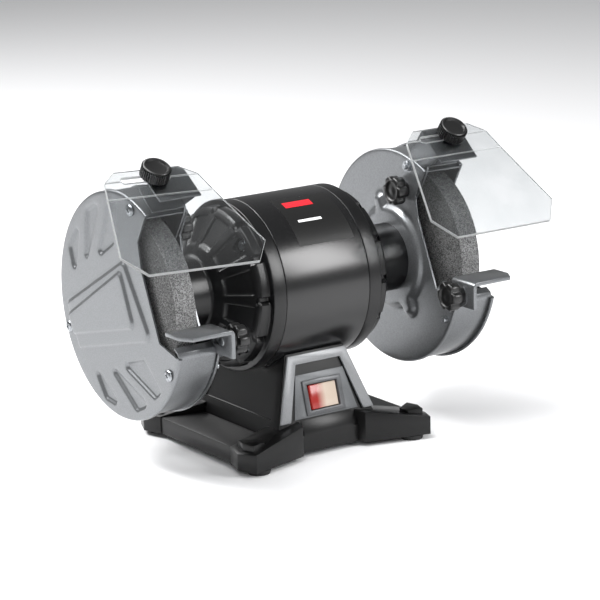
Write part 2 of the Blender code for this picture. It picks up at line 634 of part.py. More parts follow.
def rest_parts(m):
    top = SHAFT_Z + REST_TOP
    under = top - REST_THICK
    flange_out = PLATE_IN - GAP
    for side, sign in SIDES:
        table = [(REST_IN, REST_BACK), (REST_IN, REST_FRONT),
                 (REST_OUT - REST_CORNER[0], REST_FRONT),
                 (REST_OUT, REST_FRONT + REST_CORNER[1]), (REST_OUT, REST_BACK)]
        rest = add("tool_rest_" + side, prism([(sign * x, y) for x, y in table], under, top),
                   m["silver"])
        flange = ((REST_BACK, under + MM), (REST_FRONT, under + MM),
                  (REST_FRONT, top - REST_FLANGE_DEEP), (REST_BACK, top - REST_FLANGE_DEEP))
        join(rest, prism(flange, sign * REST_IN, sign * flange_out, "yzx"))
        bolt = beside(REST_BOLT)
        near, far = REST_TRAVEL
        reach = STUD_R + GAP + 0.4 * MM
        window = slot((bolt[0] - near, bolt[1]), (bolt[0] + far, bolt[1]), reach)
        cut(rest, prism(window, sign * (REST_IN - 9 * MM), sign * (PLATE_IN - MM / 10), "yzx"))
        head = PLATE_IN + SHEET + GAP
        stud_end = REST_IN - 9 * MM
        carriage = ((stud_end, 0), (stud_end, STUD_R), (head, STUD_R), (head, 5.5 * MM),
                    (head + 1.5 * MM, 4.5 * MM), (head + 2.6 * MM, 0))
        add("rest_bolt_" + side, turned(mirror_x(carriage, sign), bolt, SMALL), m["zinc"])
        star_knob("rest_knob_" + side, sign, REST_IN - GAP, bolt, m, False)


def star_knob(name, sign, face, middle, m, stud):
    """A six-lobed clamping knob whose clamping face is at x = face and which reaches inwards."""
    outline = circle(STAR_R, middle, STAR_POINTS, STAR_LOBES, STAR_NOTCH)
    neck = face - STAR_NECK[1]
    knob = add(name, prism(outline, sign * neck, sign * (face - STAR_DEEP), "yzx"), m["knob"],
               (sign * face, *middle))
    join(knob, rod(sign * face, sign * (neck - MM), STAR_NECK[0], middle))
    if stud:
        join(knob, rod(sign * (neck - MM), sign * (PLATE_IN + SHEET + 3 * MM), STUD_R, middle))
    else:
        cut(knob, rod(sign * (face + MM), sign * (face - 9 * MM), STUD_R + GAP, middle))


# ---- spark arrestors ---------------------------------------------------------------

def arrestor_way():
    """Unit step (y, z) along the arrestor plate, up and back."""
    tilt = math.radians(ARRESTOR_TILT)
    return math.cos(tilt), math.sin(tilt)


def arrestor_parts(m):
    along = arrestor_way()
    lip = ring_point(*ARRESTOR_LIP)
    normal = (-along[1], along[0])
    back = (lip[0] + along[0] * ARRESTOR_LONG, lip[1] + along[1] * ARRESTOR_LONG)
    flange_out = PLATE_IN - GAP
    flange_in = flange_out - SHEET
    knob = beside(ARRESTOR_KNOB)
    for side, sign in SIDES:
        over = [(p[0] + normal[0] * rise, p[1] + normal[1] * rise)
                for p, rise in ((lip, 0), (back, 0), (back, SHEET), (lip, SHEET))]
        plate = add("spark_arrestor_" + side,
                    prism(over, sign * flange_in, sign * ARRESTOR_OUT, "yzx"), m["silver"])
        cheek = [over[3], (lip[0] + 1.5 * MM, lip[1] - 6 * MM),
                 (knob[0] - 15 * MM, knob[1] - 2 * MM), (knob[0] - 8 * MM, knob[1] - 12 * MM),
                 (knob[0] + 8 * MM, knob[1] - 9 * MM), (knob[0] + 13 * MM, knob[1] + 6 * MM),
                 over[2]]
        join(plate, prism(cheek, sign * flange_in, sign * flange_out, "yzx"))
        near, far = ARRESTOR_TRAVEL
        windows = []
        for middle in (knob, bracket_pivot()):
            start = (middle[0] - along[0] * near, middle[1] - along[1] * near)
            end = (middle[0] + along[0] * far, middle[1] + along[1] * far)
            windows.append(prism(slot(start, end, STUD_R + 0.7 * MM), sign * (PLATE_IN - 9 * MM),
                                 sign * (PLATE_IN - MM / 10), "yzx"))
        cut(plate, merged(*windows))
        star_knob("arrestor_knob_" + side, sign, flange_in - GAP, knob, m, True)


# ---- eye shields -------------------------------------------------------------------

def shield_profile(offset):
    """Points (y, z) down the shield, from its top edge, a distance below its upper face."""
    steps = [(length, math.radians(slope)) for length, slope in SHIELD_PANELS]
    fold = ring_point(*SHIELD_FOLD)
    first = steps[0]
    points = [(fold[0] + first[0] * math.cos(first[1]), fold[1] + first[0] * math.sin(first[1])),
              fold]
    for length, slope in steps[1:]:
        y, z = points[-1]
        points.append((y - length * math.cos(slope), z - length * math.sin(slope)))
    turns = [steps[0][1], (steps[0][1] + steps[1][1]) / 2, (steps[1][1] + steps[2][1]) / 2,
             steps[2][1]]
    return [(y + offset * math.sin(turn), z - offset * math.cos(turn))
            for (y, z), turn in zip(points, turns)]


def between(a, b, share):
    return tuple(p + (q - p) * share for p, q in zip(a, b))


def shield_sheet():
    """The bent clear sheet, with its middle at x = 0."""
    half_fold = SHIELD_FOLD_WIDE / 2
    b_long, c_long = SHIELD_PANELS[1][0], SHIELD_PANELS[2][0]
    straight = 1 - SHIELD_CORNER / c_long
    widths = (SHIELD_TOP_WIDE / 2, half_fold, half_fold + SHIELD_FLARE * b_long,
              half_fold + SHIELD_FLARE * (b_long + c_long - SHIELD_CORNER),
              SHIELD_BOTTOM_WIDE / 2)
    bm = bmesh.new()
    rows = []
    for offset in (0, SHIELD_THICK):
        top, fold, second, low = shield_profile(offset)
        line = (top, fold, second, between(second, low, straight), low)
        rows.append([[bm.verts.new((sx * half, *spot)) for sx in (-1, 1)]
                     for half, spot in zip(widths, line)])
    upper, lower = rows
    for i in range(len(widths) - 1):
        for row in rows:
            bm.faces.new((row[i][0], row[i][1], row[i + 1][1], row[i + 1][0]))
        for k in (0, 1):
            bm.faces.new((upper[i][k], lower[i][k], lower[i + 1][k], upper[i + 1][k]))
    for i in (0, len(widths) - 1):
        bm.faces.new((upper[i][0], upper[i][1], lower[i][1], lower[i][0]))
    return bm


def knob_frame():
    """The shield knob's axis on the untilted shield: origin on the upper face, Z outwards."""
    top, fold = shield_profile(0)[:2]
    slope = math.radians(SHIELD_PANELS[0][1])
    y = fold[0] + KNOB_ABOVE_FOLD * math.cos(slope)
    z = fold[1] + KNOB_ABOVE_FOLD * math.sin(slope)
    return Matrix.Translation((0, y, z)) @ Matrix.Rotation(slope, 4, "X")


def shield_parts(m):
    pivot = bracket_pivot()
    for side, sign in SIDES:
        middle_x, knob_u, tilt, turn = SHIELD_STAND[side]
        knob_x = middle_x + knob_u
        pivot_point = Vector((sign * PLATE_IN, *pivot))
        lean = (Matrix.Translation(pivot_point) @ Matrix.Rotation(math.radians(tilt), 4, "X")
                @ Matrix.Translation(-pivot_point))
        knob_at = Matrix.Translation((knob_x, 0, 0)) @ knob_frame()

        swing = (knob_at @ Matrix.Rotation(math.radians(turn), 4, "Z") @ knob_at.inverted())
        stand = lean @ swing @ Matrix.Translation((middle_x, 0, 0))
        shield = add("eye_shield_" + side, placed(shield_sheet(), stand), m["clear"],
                     lean @ knob_at.translation)
        wide, left, right = SHIELD_SLOT
        window = prism(slot((left, 0), (right, 0), wide / 2), -8 * MM, 8 * MM)
        cut(shield, placed(window, stand @ knob_frame()))

        below = SHIELD_THICK + GAP
        upper = shield_profile(below)
        lower = shield_profile(below + BRACKET_SHEET)
        front = 5 * MM / SHIELD_PANELS[2][0]
        strap = [upper[0], upper[1], upper[2], between(upper[2], upper[3], front),
                 between(lower[2], lower[3], front), lower[2], lower[1], lower[0]]
        cheek_in, cheek_out = bracket_faces()
        bracket = add("shield_bracket_" + side,
                      placed(prism(strap, sign * cheek_in, sign * BRACKET_OUT, "yzx"), lean),
                      m["silver"], (sign * cheek_out, *pivot))
        cheek = [upper[0], upper[1], upper[2], (upper[2][0] + 6 * MM, upper[2][1] - 7 * MM),
                 (pivot[0] - 8 * MM, pivot[1] - 3 * MM), (pivot[0] - 4 * MM, pivot[1] - 8 * MM),
                 (pivot[0] + 4 * MM, pivot[1] - 8 * MM), (pivot[0] + 8 * MM, pivot[1] - 2 * MM)]
        join(bracket, placed(prism(cheek, sign * cheek_in, sign * cheek_out, "yzx"), lean))
        cut(bracket, merged(
            rod(sign * (PLATE_IN - 9 * MM), sign * PLATE_IN, STUD_R + GAP, pivot),
            placed(rod(-12 * MM, 8 * MM, STUD_R + GAP, (0, 0)),
                   lean @ knob_at @ Matrix.Rotation(-math.pi / 2, 4, "Y"))))
        tail = -(SHIELD_THICK + GAP + BRACKET_SHEET + 4 * MM)
        cap = GAP + ROUND_KNOB_HIGH
        profile = ((tail, 0), (tail, STUD_R), (GAP, STUD_R), (GAP, ROUND_KNOB_R - 2 * MM),
                   (GAP + 1.5 * MM, ROUND_KNOB_R), (cap - 1.5 * MM, ROUND_KNOB_R),
                   (cap, ROUND_KNOB_R - 1.5 * MM), (cap, 0))
        upright = lean @ knob_at @ Matrix.Rotation(-math.pi / 2, 4, "Y")
        add("shield_knob_" + side, placed(turned(profile), upright), m["knob"],
            lean @ knob_at.translation)


def main():
    for old in list(bpy.data.objects):
        bpy.data.objects.remove(old)
    m = finishes()
    base_parts(m)
    motor_parts(m)
    rotor_parts(m)
    guard_parts(m)
    rest_parts(m)
    arrestor_parts(m)
    shield_parts(m)


main()
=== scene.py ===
# %% [markdown]
# # A bench grinder
# The machine has a motor on a splayed moulded base, and at each end an abrasive wheel in
# a pressed steel guard with a clear eye shield, a spark arrestor and a tool rest. The
# frame holds every piece at its true size and place. Most of its pieces are plain, so
# this script makes finer ones in the same places, and gives each one its real finish.

# %% Load the frame
import json
import math

import bmesh
import bpy
import numpy as np
from mathutils import Matrix, Vector
from mathutils.geometry import delaunay_2d_cdt


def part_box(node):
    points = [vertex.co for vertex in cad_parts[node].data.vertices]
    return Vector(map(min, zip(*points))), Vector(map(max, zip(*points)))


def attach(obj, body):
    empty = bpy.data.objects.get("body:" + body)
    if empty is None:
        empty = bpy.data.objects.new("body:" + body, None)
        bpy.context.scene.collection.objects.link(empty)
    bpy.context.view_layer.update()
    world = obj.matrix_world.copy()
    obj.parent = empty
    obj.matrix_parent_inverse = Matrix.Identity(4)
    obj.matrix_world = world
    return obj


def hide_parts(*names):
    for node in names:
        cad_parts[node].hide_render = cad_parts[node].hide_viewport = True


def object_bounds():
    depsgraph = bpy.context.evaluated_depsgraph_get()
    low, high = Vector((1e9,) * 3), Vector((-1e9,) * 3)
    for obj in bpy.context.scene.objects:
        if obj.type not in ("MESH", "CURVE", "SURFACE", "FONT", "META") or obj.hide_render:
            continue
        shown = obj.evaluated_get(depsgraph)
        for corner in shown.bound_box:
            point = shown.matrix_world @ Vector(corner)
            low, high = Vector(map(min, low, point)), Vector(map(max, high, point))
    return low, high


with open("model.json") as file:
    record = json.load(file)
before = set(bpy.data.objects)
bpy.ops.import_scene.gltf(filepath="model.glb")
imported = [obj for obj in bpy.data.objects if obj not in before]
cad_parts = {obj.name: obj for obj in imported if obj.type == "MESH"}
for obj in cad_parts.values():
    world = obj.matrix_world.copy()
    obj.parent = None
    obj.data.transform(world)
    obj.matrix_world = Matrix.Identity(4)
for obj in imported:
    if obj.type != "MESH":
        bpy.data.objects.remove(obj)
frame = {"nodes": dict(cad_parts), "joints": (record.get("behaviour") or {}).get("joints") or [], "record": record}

cad_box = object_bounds()
MM = 0.001
SIDES = (("left", -1), ("right", 1))
ON_AXIS = 1e-5           # metres: a turned point this near the axis leaves no open hole

tube_low, tube_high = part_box("motor_shell")
guard_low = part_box("wheel_guard_right")[0]
cover_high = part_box("guard_cover_right")[1]
wheel_low, wheel_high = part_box("grinding_wheel_right")
SHAFT_Z = (tube_low.z + tube_high.z) / 2
TUBE_R = (tube_high.z - tube_low.z) / 2
TUBE_HALF = tube_high.x
PLATE_IN = guard_low.x
COVER_R = cover_high.y
COVER_FACE = cover_high.x
WHEEL_R = (wheel_high.z - wheel_low.z) / 2
WHEEL_IN, WHEEL_OUT = wheel_low.x, wheel_high.x


def middle_yz(node):
    """The middle of a node's box, seen along the shaft."""
    low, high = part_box(node)
    return (low.y + high.y) / 2, (low.z + high.z) / 2


print("shaft height", round(SHAFT_Z / MM, 1), "mm, wheel radius", round(WHEEL_R / MM, 1), "mm")

# %% [markdown]
# ## Camera, floor and light
# A long lens from a little over two metres keeps the two wheels nearly the same size, as
# a catalogue picture does. The floor is pale and wide. Black gloss paint shows mostly what
# it reflects, so one soft light stands in front on the right: it draws the bright band
# along the tube. A small one, high and behind on the left, grazes the covers, so that
# their pressed shapes show. The other three fill in from the front, above and behind.

# %% Camera
CAMERA = {"azimuth": -33.7, "elevation": 13.6, "roll": -1.6, "away": 2.189, "lens": 163.6}
AIM_SHIFT = (16 * MM, -19 * MM)      # the aim is right of the shaft's middle, and below it


def view_axes(azimuth, elevation, roll):
    """Unit vectors towards the camera, to its right and up in its picture."""
    a, e, r = (math.radians(v) for v in (azimuth, elevation, roll))
    back = Vector((math.sin(a) * math.cos(e), -math.cos(a) * math.cos(e), math.sin(e)))
    level = Vector((math.cos(a), math.sin(a), 0))
    upright = back.cross(level)
    right = level * math.cos(r) + upright * math.sin(r)
    return back, right, back.cross(right)


back, right, up = view_axes(CAMERA["azimuth"], CAMERA["elevation"], CAMERA["roll"])
middle = Vector((0, 0, SHAFT_Z))
camera = bpy.data.objects.new("camera", bpy.data.cameras.new("camera"))
camera.data.lens = CAMERA["lens"]
camera.data.sensor_width = 36
camera.location = middle + back * CAMERA["away"]
aim = middle + right * AIM_SHIFT[0] + up * AIM_SHIFT[1]
facing = (camera.location - aim).normalized()
side = (right - facing * right.dot(facing)).normalized()
turn = Matrix((side, facing.cross(side), facing)).transposed()
camera.rotation_euler = turn.to_euler()
bpy.context.scene.collection.objects.link(camera)
bpy.context.scene.camera = camera
print("camera at", [round(c, 3) for c in camera.location])

# %% [markdown]
# Colours are written as they look on a screen, in hex, and turned to the linear values
# that the renderer works in. One small function adds every node of every tree.


# %% Colour and node helpers
def linear(hexed):
    """An sRGB hex colour as linear red, green, blue and alpha."""
    channels = [int(hexed[i:i + 2], 16) / 255 for i in (1, 3, 5)]
    return (*[c / 12.92 if c <= 0.04045 else ((c + 0.055) / 1.055) ** 2.4 for c in channels], 1)


def add(tree, kind, inputs=None, **settings):
    """Adds a node. An input is a value or a socket to link; settings are its properties."""
    made = tree.nodes.new(kind)
    for key, value in settings.items():
        setattr(made, key, value)
    for key, value in (inputs or {}).items():
        if isinstance(value, bpy.types.NodeSocket):
            tree.links.new(value, made.inputs[key])
        else:
            made.inputs[key].default_value = value
    return made


def surface(name, **values):
    """A new material, its node tree and its Principled shader with the values given."""
    made = bpy.data.materials.new(name)
    made.use_nodes = True
    shader = made.node_tree.nodes["Principled BSDF"]
    for key, value in values.items():
        shader.inputs[key.replace("_", " ")].default_value = value
    return made, made.node_tree, shader


def place(tree):
    """The point on the object in metres, so that a pattern has its real size."""
    return add(tree, "ShaderNodeTexCoord").outputs["Object"]


# %% Floor, backdrop light and lamps
FLOOR_Z = cad_box[0].z
floor_finish, tree, shader = surface("pale_floor", Base_Color=linear("#F4F4F5"), Roughness=0.6)
floor_mesh = bpy.data.meshes.new("floor")
FLOOR_REACH = 6.0
floor_corners = [(a * FLOOR_REACH, b * FLOOR_REACH, FLOOR_Z)
                 for a, b in ((-1, -1), (1, -1), (1, 1), (-1, 1))]
floor_mesh.from_pydata(floor_corners, [], [(0, 1, 2, 3)])
floor_mesh.materials.append(floor_finish)
floor = bpy.data.objects.new("floor", floor_mesh)
bpy.context.scene.collection.objects.link(floor)

world = bpy.data.worlds.new("studio")
world.use_nodes = True
sky = world.node_tree.nodes["Background"]
sky.inputs["Color"].default_value = linear("#F4F5F6")
sky.inputs["Strength"].default_value = 0.3
bpy.context.scene.world = world
bpy.context.scene.view_settings.view_transform = "Standard"      # keeps black paint black


def lamp(name, spot, target, size, power):
    """A rectangular soft light at a spot, facing the target."""
    data = bpy.data.lights.new(name, "AREA")
    data.shape = "RECTANGLE"
    data.size, data.size_y = size
    data.energy = power
    made = bpy.data.objects.new(name, data)
    made.location = spot
    made.rotation_euler = (Vector(target) - Vector(spot)).to_track_quat("-Z", "Y").to_euler()
    bpy.context.scene.collection.objects.link(made)
    return made


lamp("front_right_panel", (0.74, -1.1, 0.78), middle, (0.5, 0.75), 15)
lamp("front_left_fill", (-1.3, -1.6, 1.1), middle, (0.8, 0.8), 10)
lamp("left_key", (-0.95, 0.75, 1.5), middle, (0.5, 0.5), 30)
lamp("top_softbox", (-0.5, -0.2, 1.6), middle, (0.9, 0.9), 24)
lamp("rear_softbox", (-0.2, 1.5, 1.5), middle, (1.4, 1.0), 26)

# %% [markdown]
# ## Finishes
# Each finish is named for the real material and how its surface was made.


# %% Painted and moulded finishes
def grain_bump(tree, shader, size, depth, detail=2.0):
    """Fine unevenness: noise with grains of the given size, as high as depth."""
    noise = add(tree, "ShaderNodeTexNoise", {"Vector": place(tree), "Scale": 1 / size,
                                             "Detail": detail})
    bump = add(tree, "ShaderNodeBump", {"Height": noise.outputs["Fac"], "Distance": depth})
    tree.links.new(bump.outputs["Normal"], shader.inputs["Normal"])
    return noise


def tinted(tree, shader, factor, dark, light, low=0.35, high=0.65):
    """Colour that wanders between dark and light as the factor goes from low to high."""
    share = add(tree, "ShaderNodeMapRange", {"Value": factor, "From Min": low, "From Max": high})
    mix = add(tree, "ShaderNodeMix", {0: share.outputs["Result"], 6: linear(dark),
                                      7: linear(light)}, data_type="RGBA")
    tree.links.new(mix.outputs[2], shader.inputs["Base Color"])


def mottled(name, size, depth, dark, light, detail=2.0, **values):
    """A finish whose height and colour wander together, in grains of the given size."""
    made, tree, shader = surface(name, **values)
    noise = grain_bump(tree, shader, size, depth, detail)
    tinted(tree, shader, noise.outputs["Fac"], dark, light)
    return made


# Stove enamel on pressed steel: aluminium flake in a satin lacquer, faintly mottled.
silver_enamel = mottled("silver_stove_enamel", 0.9 * MM, 0.007 * MM, "#6E7072", "#7A7C7E",
                        Metallic=0.7, Roughness=0.3)
# The gloss enamel on the motor is hard, dark and slightly wavy, as sprayed paint is. On
# the bells the sand-cast skin below makes it coarser.
black_enamel = mottled("black_gloss_enamel", 2.5 * MM, 0.012 * MM, "#060607", "#0B0B0C",
                       Roughness=0.24, IOR=1.5, Specular_IOR_Level=0.6)
bell_enamel = mottled("black_enamel_on_casting", 1.4 * MM, 0.05 * MM, "#060607", "#0C0C0D",
                      detail=3, Roughness=0.3, IOR=1.5, Specular_IOR_Level=0.4)
# The base is ABS, injection moulded with a fine spark-eroded grain.
black_abs = mottled("black_moulded_abs", 0.5 * MM, 0.02 * MM, "#070707", "#0C0C0D",
                    Roughness=0.34, IOR=1.53, Specular_IOR_Level=0.3)
knob_plastic = mottled("black_knob_nylon", 0.4 * MM, 0.015 * MM, "#0A0A0A", "#141414",
                       Roughness=0.34, IOR=1.53)
# Rubber is matt, with a powdery bloom.
foot_rubber = mottled("black_rubber", 0.7 * MM, 0.04 * MM, "#111111", "#1D1D1D",
                      Roughness=0.75, IOR=1.52)
# The frame round the switch is painted, and the switch's own frame is greyer. The panel's darker grey is painted
# shade of the recess it sits in.
silver_abs = mottled("silver_painted_abs", 0.5 * MM, 0.012 * MM, "#7A7C7E", "#88898B",
                     Metallic=0.3, Roughness=0.38)
panel_painted_shade = mottled("panel_grey_with_painted_recess_shade", 0.5 * MM, 0.012 * MM, "#56585A", "#626466",
                     Metallic=0.3, Roughness=0.42)
bezel_paint = mottled("dark_grey_switch_frame", 0.4 * MM, 0.012 * MM, "#4A4B4D", "#5C5D5F",
                      Metallic=0.4, Roughness=0.35)
print("painted and moulded finishes ready")


# %% Metal finishes
def lined(name, pitch, depth, dark, light, wander, **values):
    """A metal with one fine line every pitch along the shaft."""
    made, tree, shader = surface(name, **values)
    lines = add(tree, "ShaderNodeTexWave", {"Vector": place(tree), "Scale": 1 / pitch / 20,
                                            "Distortion": wander}, bands_direction="X")
    bump = add(tree, "ShaderNodeBump", {"Height": lines.outputs["Fac"], "Distance": depth})
    tree.links.new(bump.outputs["Normal"], shader.inputs["Normal"])
    tinted(tree, shader, lines.outputs["Fac"], dark, light, 0.0, 1.0)
    return made


# Zinc plate on the bolts is bluish, with faint cloudy patches.
zinc_plate = mottled("bright_zinc_plate", 1.5 * MM, 0.01 * MM, "#85888B", "#A2A5A8",
                     Metallic=1.0, Roughness=0.3)
ground_steel = lined("ground_steel", 0.3 * MM, 0.01 * MM, "#AEB0B3", "#C9CBCD", 1.5,
                     Metallic=1.0, Roughness=0.3)
# The cores are stacks of dark electrical sheet, 0.5 mm each.
lamination = lined("electrical_sheet_stack", 0.5 * MM, 0.05 * MM, "#55585C", "#7C8085", 0.0,
                   Metallic=0.9, Roughness=0.45)
# The windings are round wire, 0.8 mm thick, under clear amber enamel.
copper_wire = lined("enamelled_copper_wire", 0.8 * MM, 0.2 * MM, "#7A3A16", "#C9763A", 2.0,
                    Metallic=0.85, Roughness=0.3)
print("metal finishes ready")


# %% [markdown]
# The wheel is aluminium oxide grit in a glassy bond. Grains of about 0.5 mm catch the
# light one by one, so it looks like salt and pepper. The rim is dressed clean and is
# paler; the sides are duller. The radius of each point tells the shader where the rim is.

# %% Abrasive
grit, tree, shader = surface("aluminium_oxide_grit", Roughness=0.9, IOR=1.6)
spot = place(tree)
grains = add(tree, "ShaderNodeTexVoronoi", {"Vector": spot, "Scale": 1 / (0.7 * MM)})
level = add(tree, "ShaderNodeSeparateColor", {"Color": grains.outputs["Color"]})
axes = add(tree, "ShaderNodeSeparateXYZ", {"Vector": spot})
height = add(tree, "ShaderNodeMath", {0: axes.outputs["Z"], 1: SHAFT_Z}, operation="SUBTRACT")
square_y = add(tree, "ShaderNodeMath", {0: axes.outputs["Y"], 1: axes.outputs["Y"]},
               operation="MULTIPLY")
square_sum = add(tree, "ShaderNodeMath", {0: height.outputs[0], 1: height.outputs[0],
                                          2: square_y.outputs[0]}, operation="MULTIPLY_ADD")
radius = add(tree, "ShaderNodeMath", {0: square_sum.outputs[0]}, operation="SQRT")
rim = add(tree, "ShaderNodeMapRange", {"Value": radius.outputs[0],
                                       "From Min": WHEEL_R - 0.7 * MM,
                                       "From Max": WHEEL_R - 0.3 * MM})
shade = add(tree, "ShaderNodeMapRange", {"Value": level.outputs["Red"], "From Min": 0.15,
                                         "From Max": 0.9})
on_side = add(tree, "ShaderNodeMix", {0: shade.outputs["Result"], 6: linear("#222222"),
                                      7: linear("#6C6C6C")}, data_type="RGBA")
on_rim = add(tree, "ShaderNodeMix", {0: shade.outputs["Result"], 6: linear("#4E4E4E"),
                                     7: linear("#969696")}, data_type="RGBA")
mix = add(tree, "ShaderNodeMix", {0: rim.outputs["Result"], 6: on_side.outputs[2],
                                  7: on_rim.outputs[2]}, data_type="RGBA")
tree.links.new(mix.outputs[2], shader.inputs["Base Color"])
bump = add(tree, "ShaderNodeBump", {"Height": level.outputs["Red"], "Distance": 0.2 * MM,
                                    "Strength": 0.6})
tree.links.new(bump.outputs["Normal"], shader.inputs["Normal"])
print("abrasive ready")

# %% [markdown]
# The shields are clear polycarbonate, 2.5 mm thick and a little grey. Light that enters
# the sheet comes out at its sawn edges, so those look white and frosted. The folds get the
# same whitish finish as a painted highlight.

# %% Clear, red and label finishes
clear_sheet = mottled("clear_polycarbonate", 30 * MM, 0.03 * MM, "#D9DCDD", "#E2E4E5",
                      Roughness=0.03, IOR=1.585, Transmission_Weight=1.0)
# On the sawn edges this is frosting; on the folds it is a painted highlight.
edge_frost_and_fold_highlight = mottled("frosted_edge_and_painted_fold_highlight", 0.6 * MM, 0.03 * MM, "#C9CCCD", "#DEE0E0",
                     Roughness=0.35, IOR=1.585, Transmission_Weight=0.7)
red_lens = mottled("red_translucent_lens", 2 * MM, 0.02 * MM, "#B5201C", "#D5433A",
                   Roughness=0.16, IOR=1.49, Transmission_Weight=0.25)
# The lens fades from red to pale towards the end where the lamp in the rocker stands: a painted glow, in the
# colour.
GLOW_FADE_SPAN = (-7 * MM, 2 * MM)
painted_glow_lens, tree, shader = surface("painted_glow_lens_face", Roughness=0.2, IOR=1.49)
grain_bump(tree, shader, 3 * MM, 0.01 * MM)
across = add(tree, "ShaderNodeSeparateXYZ", {"Vector": place(tree)})
tinted(tree, shader, across.outputs["X"], "#93231E", "#BFAFA0", *GLOW_FADE_SPAN)
label_film = mottled("black_label_film", 0.6 * MM, 0.008 * MM, "#050505", "#0B0B0B",
                     Roughness=0.4, IOR=1.5)
label_red = mottled("red_label_ink", 0.6 * MM, 0.008 * MM, "#C01824", "#D8222E",
                    Roughness=0.35, IOR=1.5)
label_white = mottled("white_label_ink", 0.6 * MM, 0.008 * MM, "#D9DADB", "#ECECEC",
                      Roughness=0.4, IOR=1.5)
print("clear and label finishes ready")

# %% [markdown]
# ## Tools for shapes
# Most of the grinder is either turned, like the tube and the wheels, or cut and pressed
# from sheet. A few helpers make those shapes: one rounds the corners of an outline, one
# turns a profile round the shaft, one stretches an outline into a solid, and one softens
# the sharp edges of a CAD piece, because no real edge is perfectly sharp.


# %% Outlines
def rounded(points, steps=5):
    """A closed outline; a point's third number is the radius to round its corner with."""
    out = []
    for index, point in enumerate(points):
        here = Vector(point[:2])
        radius = point[2] if len(point) > 2 else 0
        if not radius:
            out.append((here.x, here.y))
            continue
        before = Vector(points[index - 1][:2]) - here
        after = Vector(points[(index + 1) % len(points)][:2]) - here
        half = before.angle(after) / 2
        run = min(radius / math.tan(half), before.length * 0.49, after.length * 0.49)
        centre = here + (before.normalized() + after.normalized()).normalized() * (
            run / math.cos(half))
        start = here + before.normalized() * run - centre
        end = here + after.normalized() * run - centre
        sweep = start.angle_signed(end) * -1
        for step in range(steps + 1):
            angle = sweep * step / steps
            cos, sin = math.cos(angle), math.sin(angle)
            out.append((centre.x + start.x * cos - start.y * sin,
                        centre.y + start.x * sin + start.y * cos))
    return out


def polar(radius, degrees):
    """A point round the shaft as (y, z) from its axis: 0 degrees is the front, 90 the top."""
    angle = math.radians(degrees)
    return -radius * math.cos(angle), radius * math.sin(angle)


def arc(radius, start, end, step=2.5):
    """Points (y, z) round the shaft from one angle to another."""
    count = max(2, round(abs(end - start) / step))
    return [polar(radius, start + (end - start) * i / count) for i in range(count + 1)]


def in_mm(points):
    return [tuple(v * MM for v in p) for p in points]


def ribbon(path, thickness):
    """A closed outline of the given thickness along the middle line of a bent sheet."""
    line = np.array(path)
    way = np.diff(line, axis=0)
    way /= np.linalg.norm(way, axis=1)[:, None]
    left = np.stack([-way[:, 1], way[:, 0]], 1)
    before = np.vstack([left[:1], left])
    after = np.vstack([left, left[-1:]])
    lean = before + after
    lean /= (lean * after).sum(1)[:, None]
    one, other = line + lean * thickness / 2, line - lean * thickness / 2
    return [tuple(p) for p in np.vstack([one, other[::-1]])]


# %% Solids
def prism(outline, low, high, axes="xyz"):
    """An outline in the first two axes, stretched from low to high along the third."""
    order = ["xyz".index(a) for a in axes]
    bm = bmesh.new()
    rings = []
    for level in (low, high):
        ring = []
        for a, b in outline:
            point = [0, 0, 0]
            point[order[0]], point[order[1]] = a, b
            point[order[2]] = level(a, b) if callable(level) else level
            ring.append(bm.verts.new(point))
        rings.append(ring)
    count = len(outline)
    for i in range(count):
        j = (i + 1) % count
        bm.faces.new((rings[0][i], rings[0][j], rings[1][j], rings[1][i]))
    bm.faces.new(rings[0])
    bm.faces.new(rings[1])
    bmesh.ops.recalc_face_normals(bm, faces=bm.faces)
    return bm


def lathe(profile, at=None, count=160, shape=None, low=0, turn=2 * math.pi):
    """Turns a closed profile of (x, radius) about an axis along X through at = (y, z).

    shape(x, radius, angle) may give each point another radius, for lobes and pockets.
    """
    y0, z0 = at or (0, SHAFT_Z)
    bm = bmesh.new()
    rings = []
    for i in range(count):
        angle = low + turn * i / count
        ring = []
        for x, r in profile:
            if shape:
                x, r = shape(x, r, angle)
            ring.append(bm.verts.new((x, y0 - r * math.cos(angle), z0 + r * math.sin(angle))))
        rings.append(ring)
    for i in range(count):
        one, two = rings[i], rings[(i + 1) % count]
        for k in range(len(profile)):
            m = (k + 1) % len(profile)
            if profile[k][1] > 0 or profile[m][1] > 0:
                bm.faces.new((one[k], one[m], two[m], two[k]))
    bmesh.ops.remove_doubles(bm, verts=bm.verts, dist=1e-7)
    bmesh.ops.recalc_face_normals(bm, faces=bm.faces)
    return bm


def circle_ring(radius, z, count=32):
    """A level circle of points; the radius and the height are in mm."""
    turns = [2 * math.pi * i / count for i in range(count)]
    return [(radius * MM * math.cos(t), radius * MM * math.sin(t), z * MM) for t in turns]


def moved(bm, matrix):
    bmesh.ops.transform(bm, matrix=matrix, verts=bm.verts)
    return bm


def soften(bm, width, segments=2, least=30):
    """Rounds every edge that is sharper than least degrees."""
    edges = [e for e in bm.edges if e.is_manifold and e.calc_face_angle() > math.radians(least)]
    bmesh.ops.bevel(bm, geom=edges, offset=width, segments=segments, profile=0.5,
                    affect="EDGES", clamp_overlap=True)
    return bm


def joined(*parts):
    """Several shapes in one bmesh."""
    whole = bmesh.new()
    for part in parts:
        mesh = bpy.data.meshes.new("part")
        part.to_mesh(mesh)
        part.free()
        whole.from_mesh(mesh)
        bpy.data.meshes.remove(mesh)
    return whole


def evaluated(obj):
    """The object's mesh with its modifiers applied, as a new mesh."""
    graph = bpy.context.evaluated_depsgraph_get()
    return bpy.data.meshes.new_from_object(obj.evaluated_get(graph))


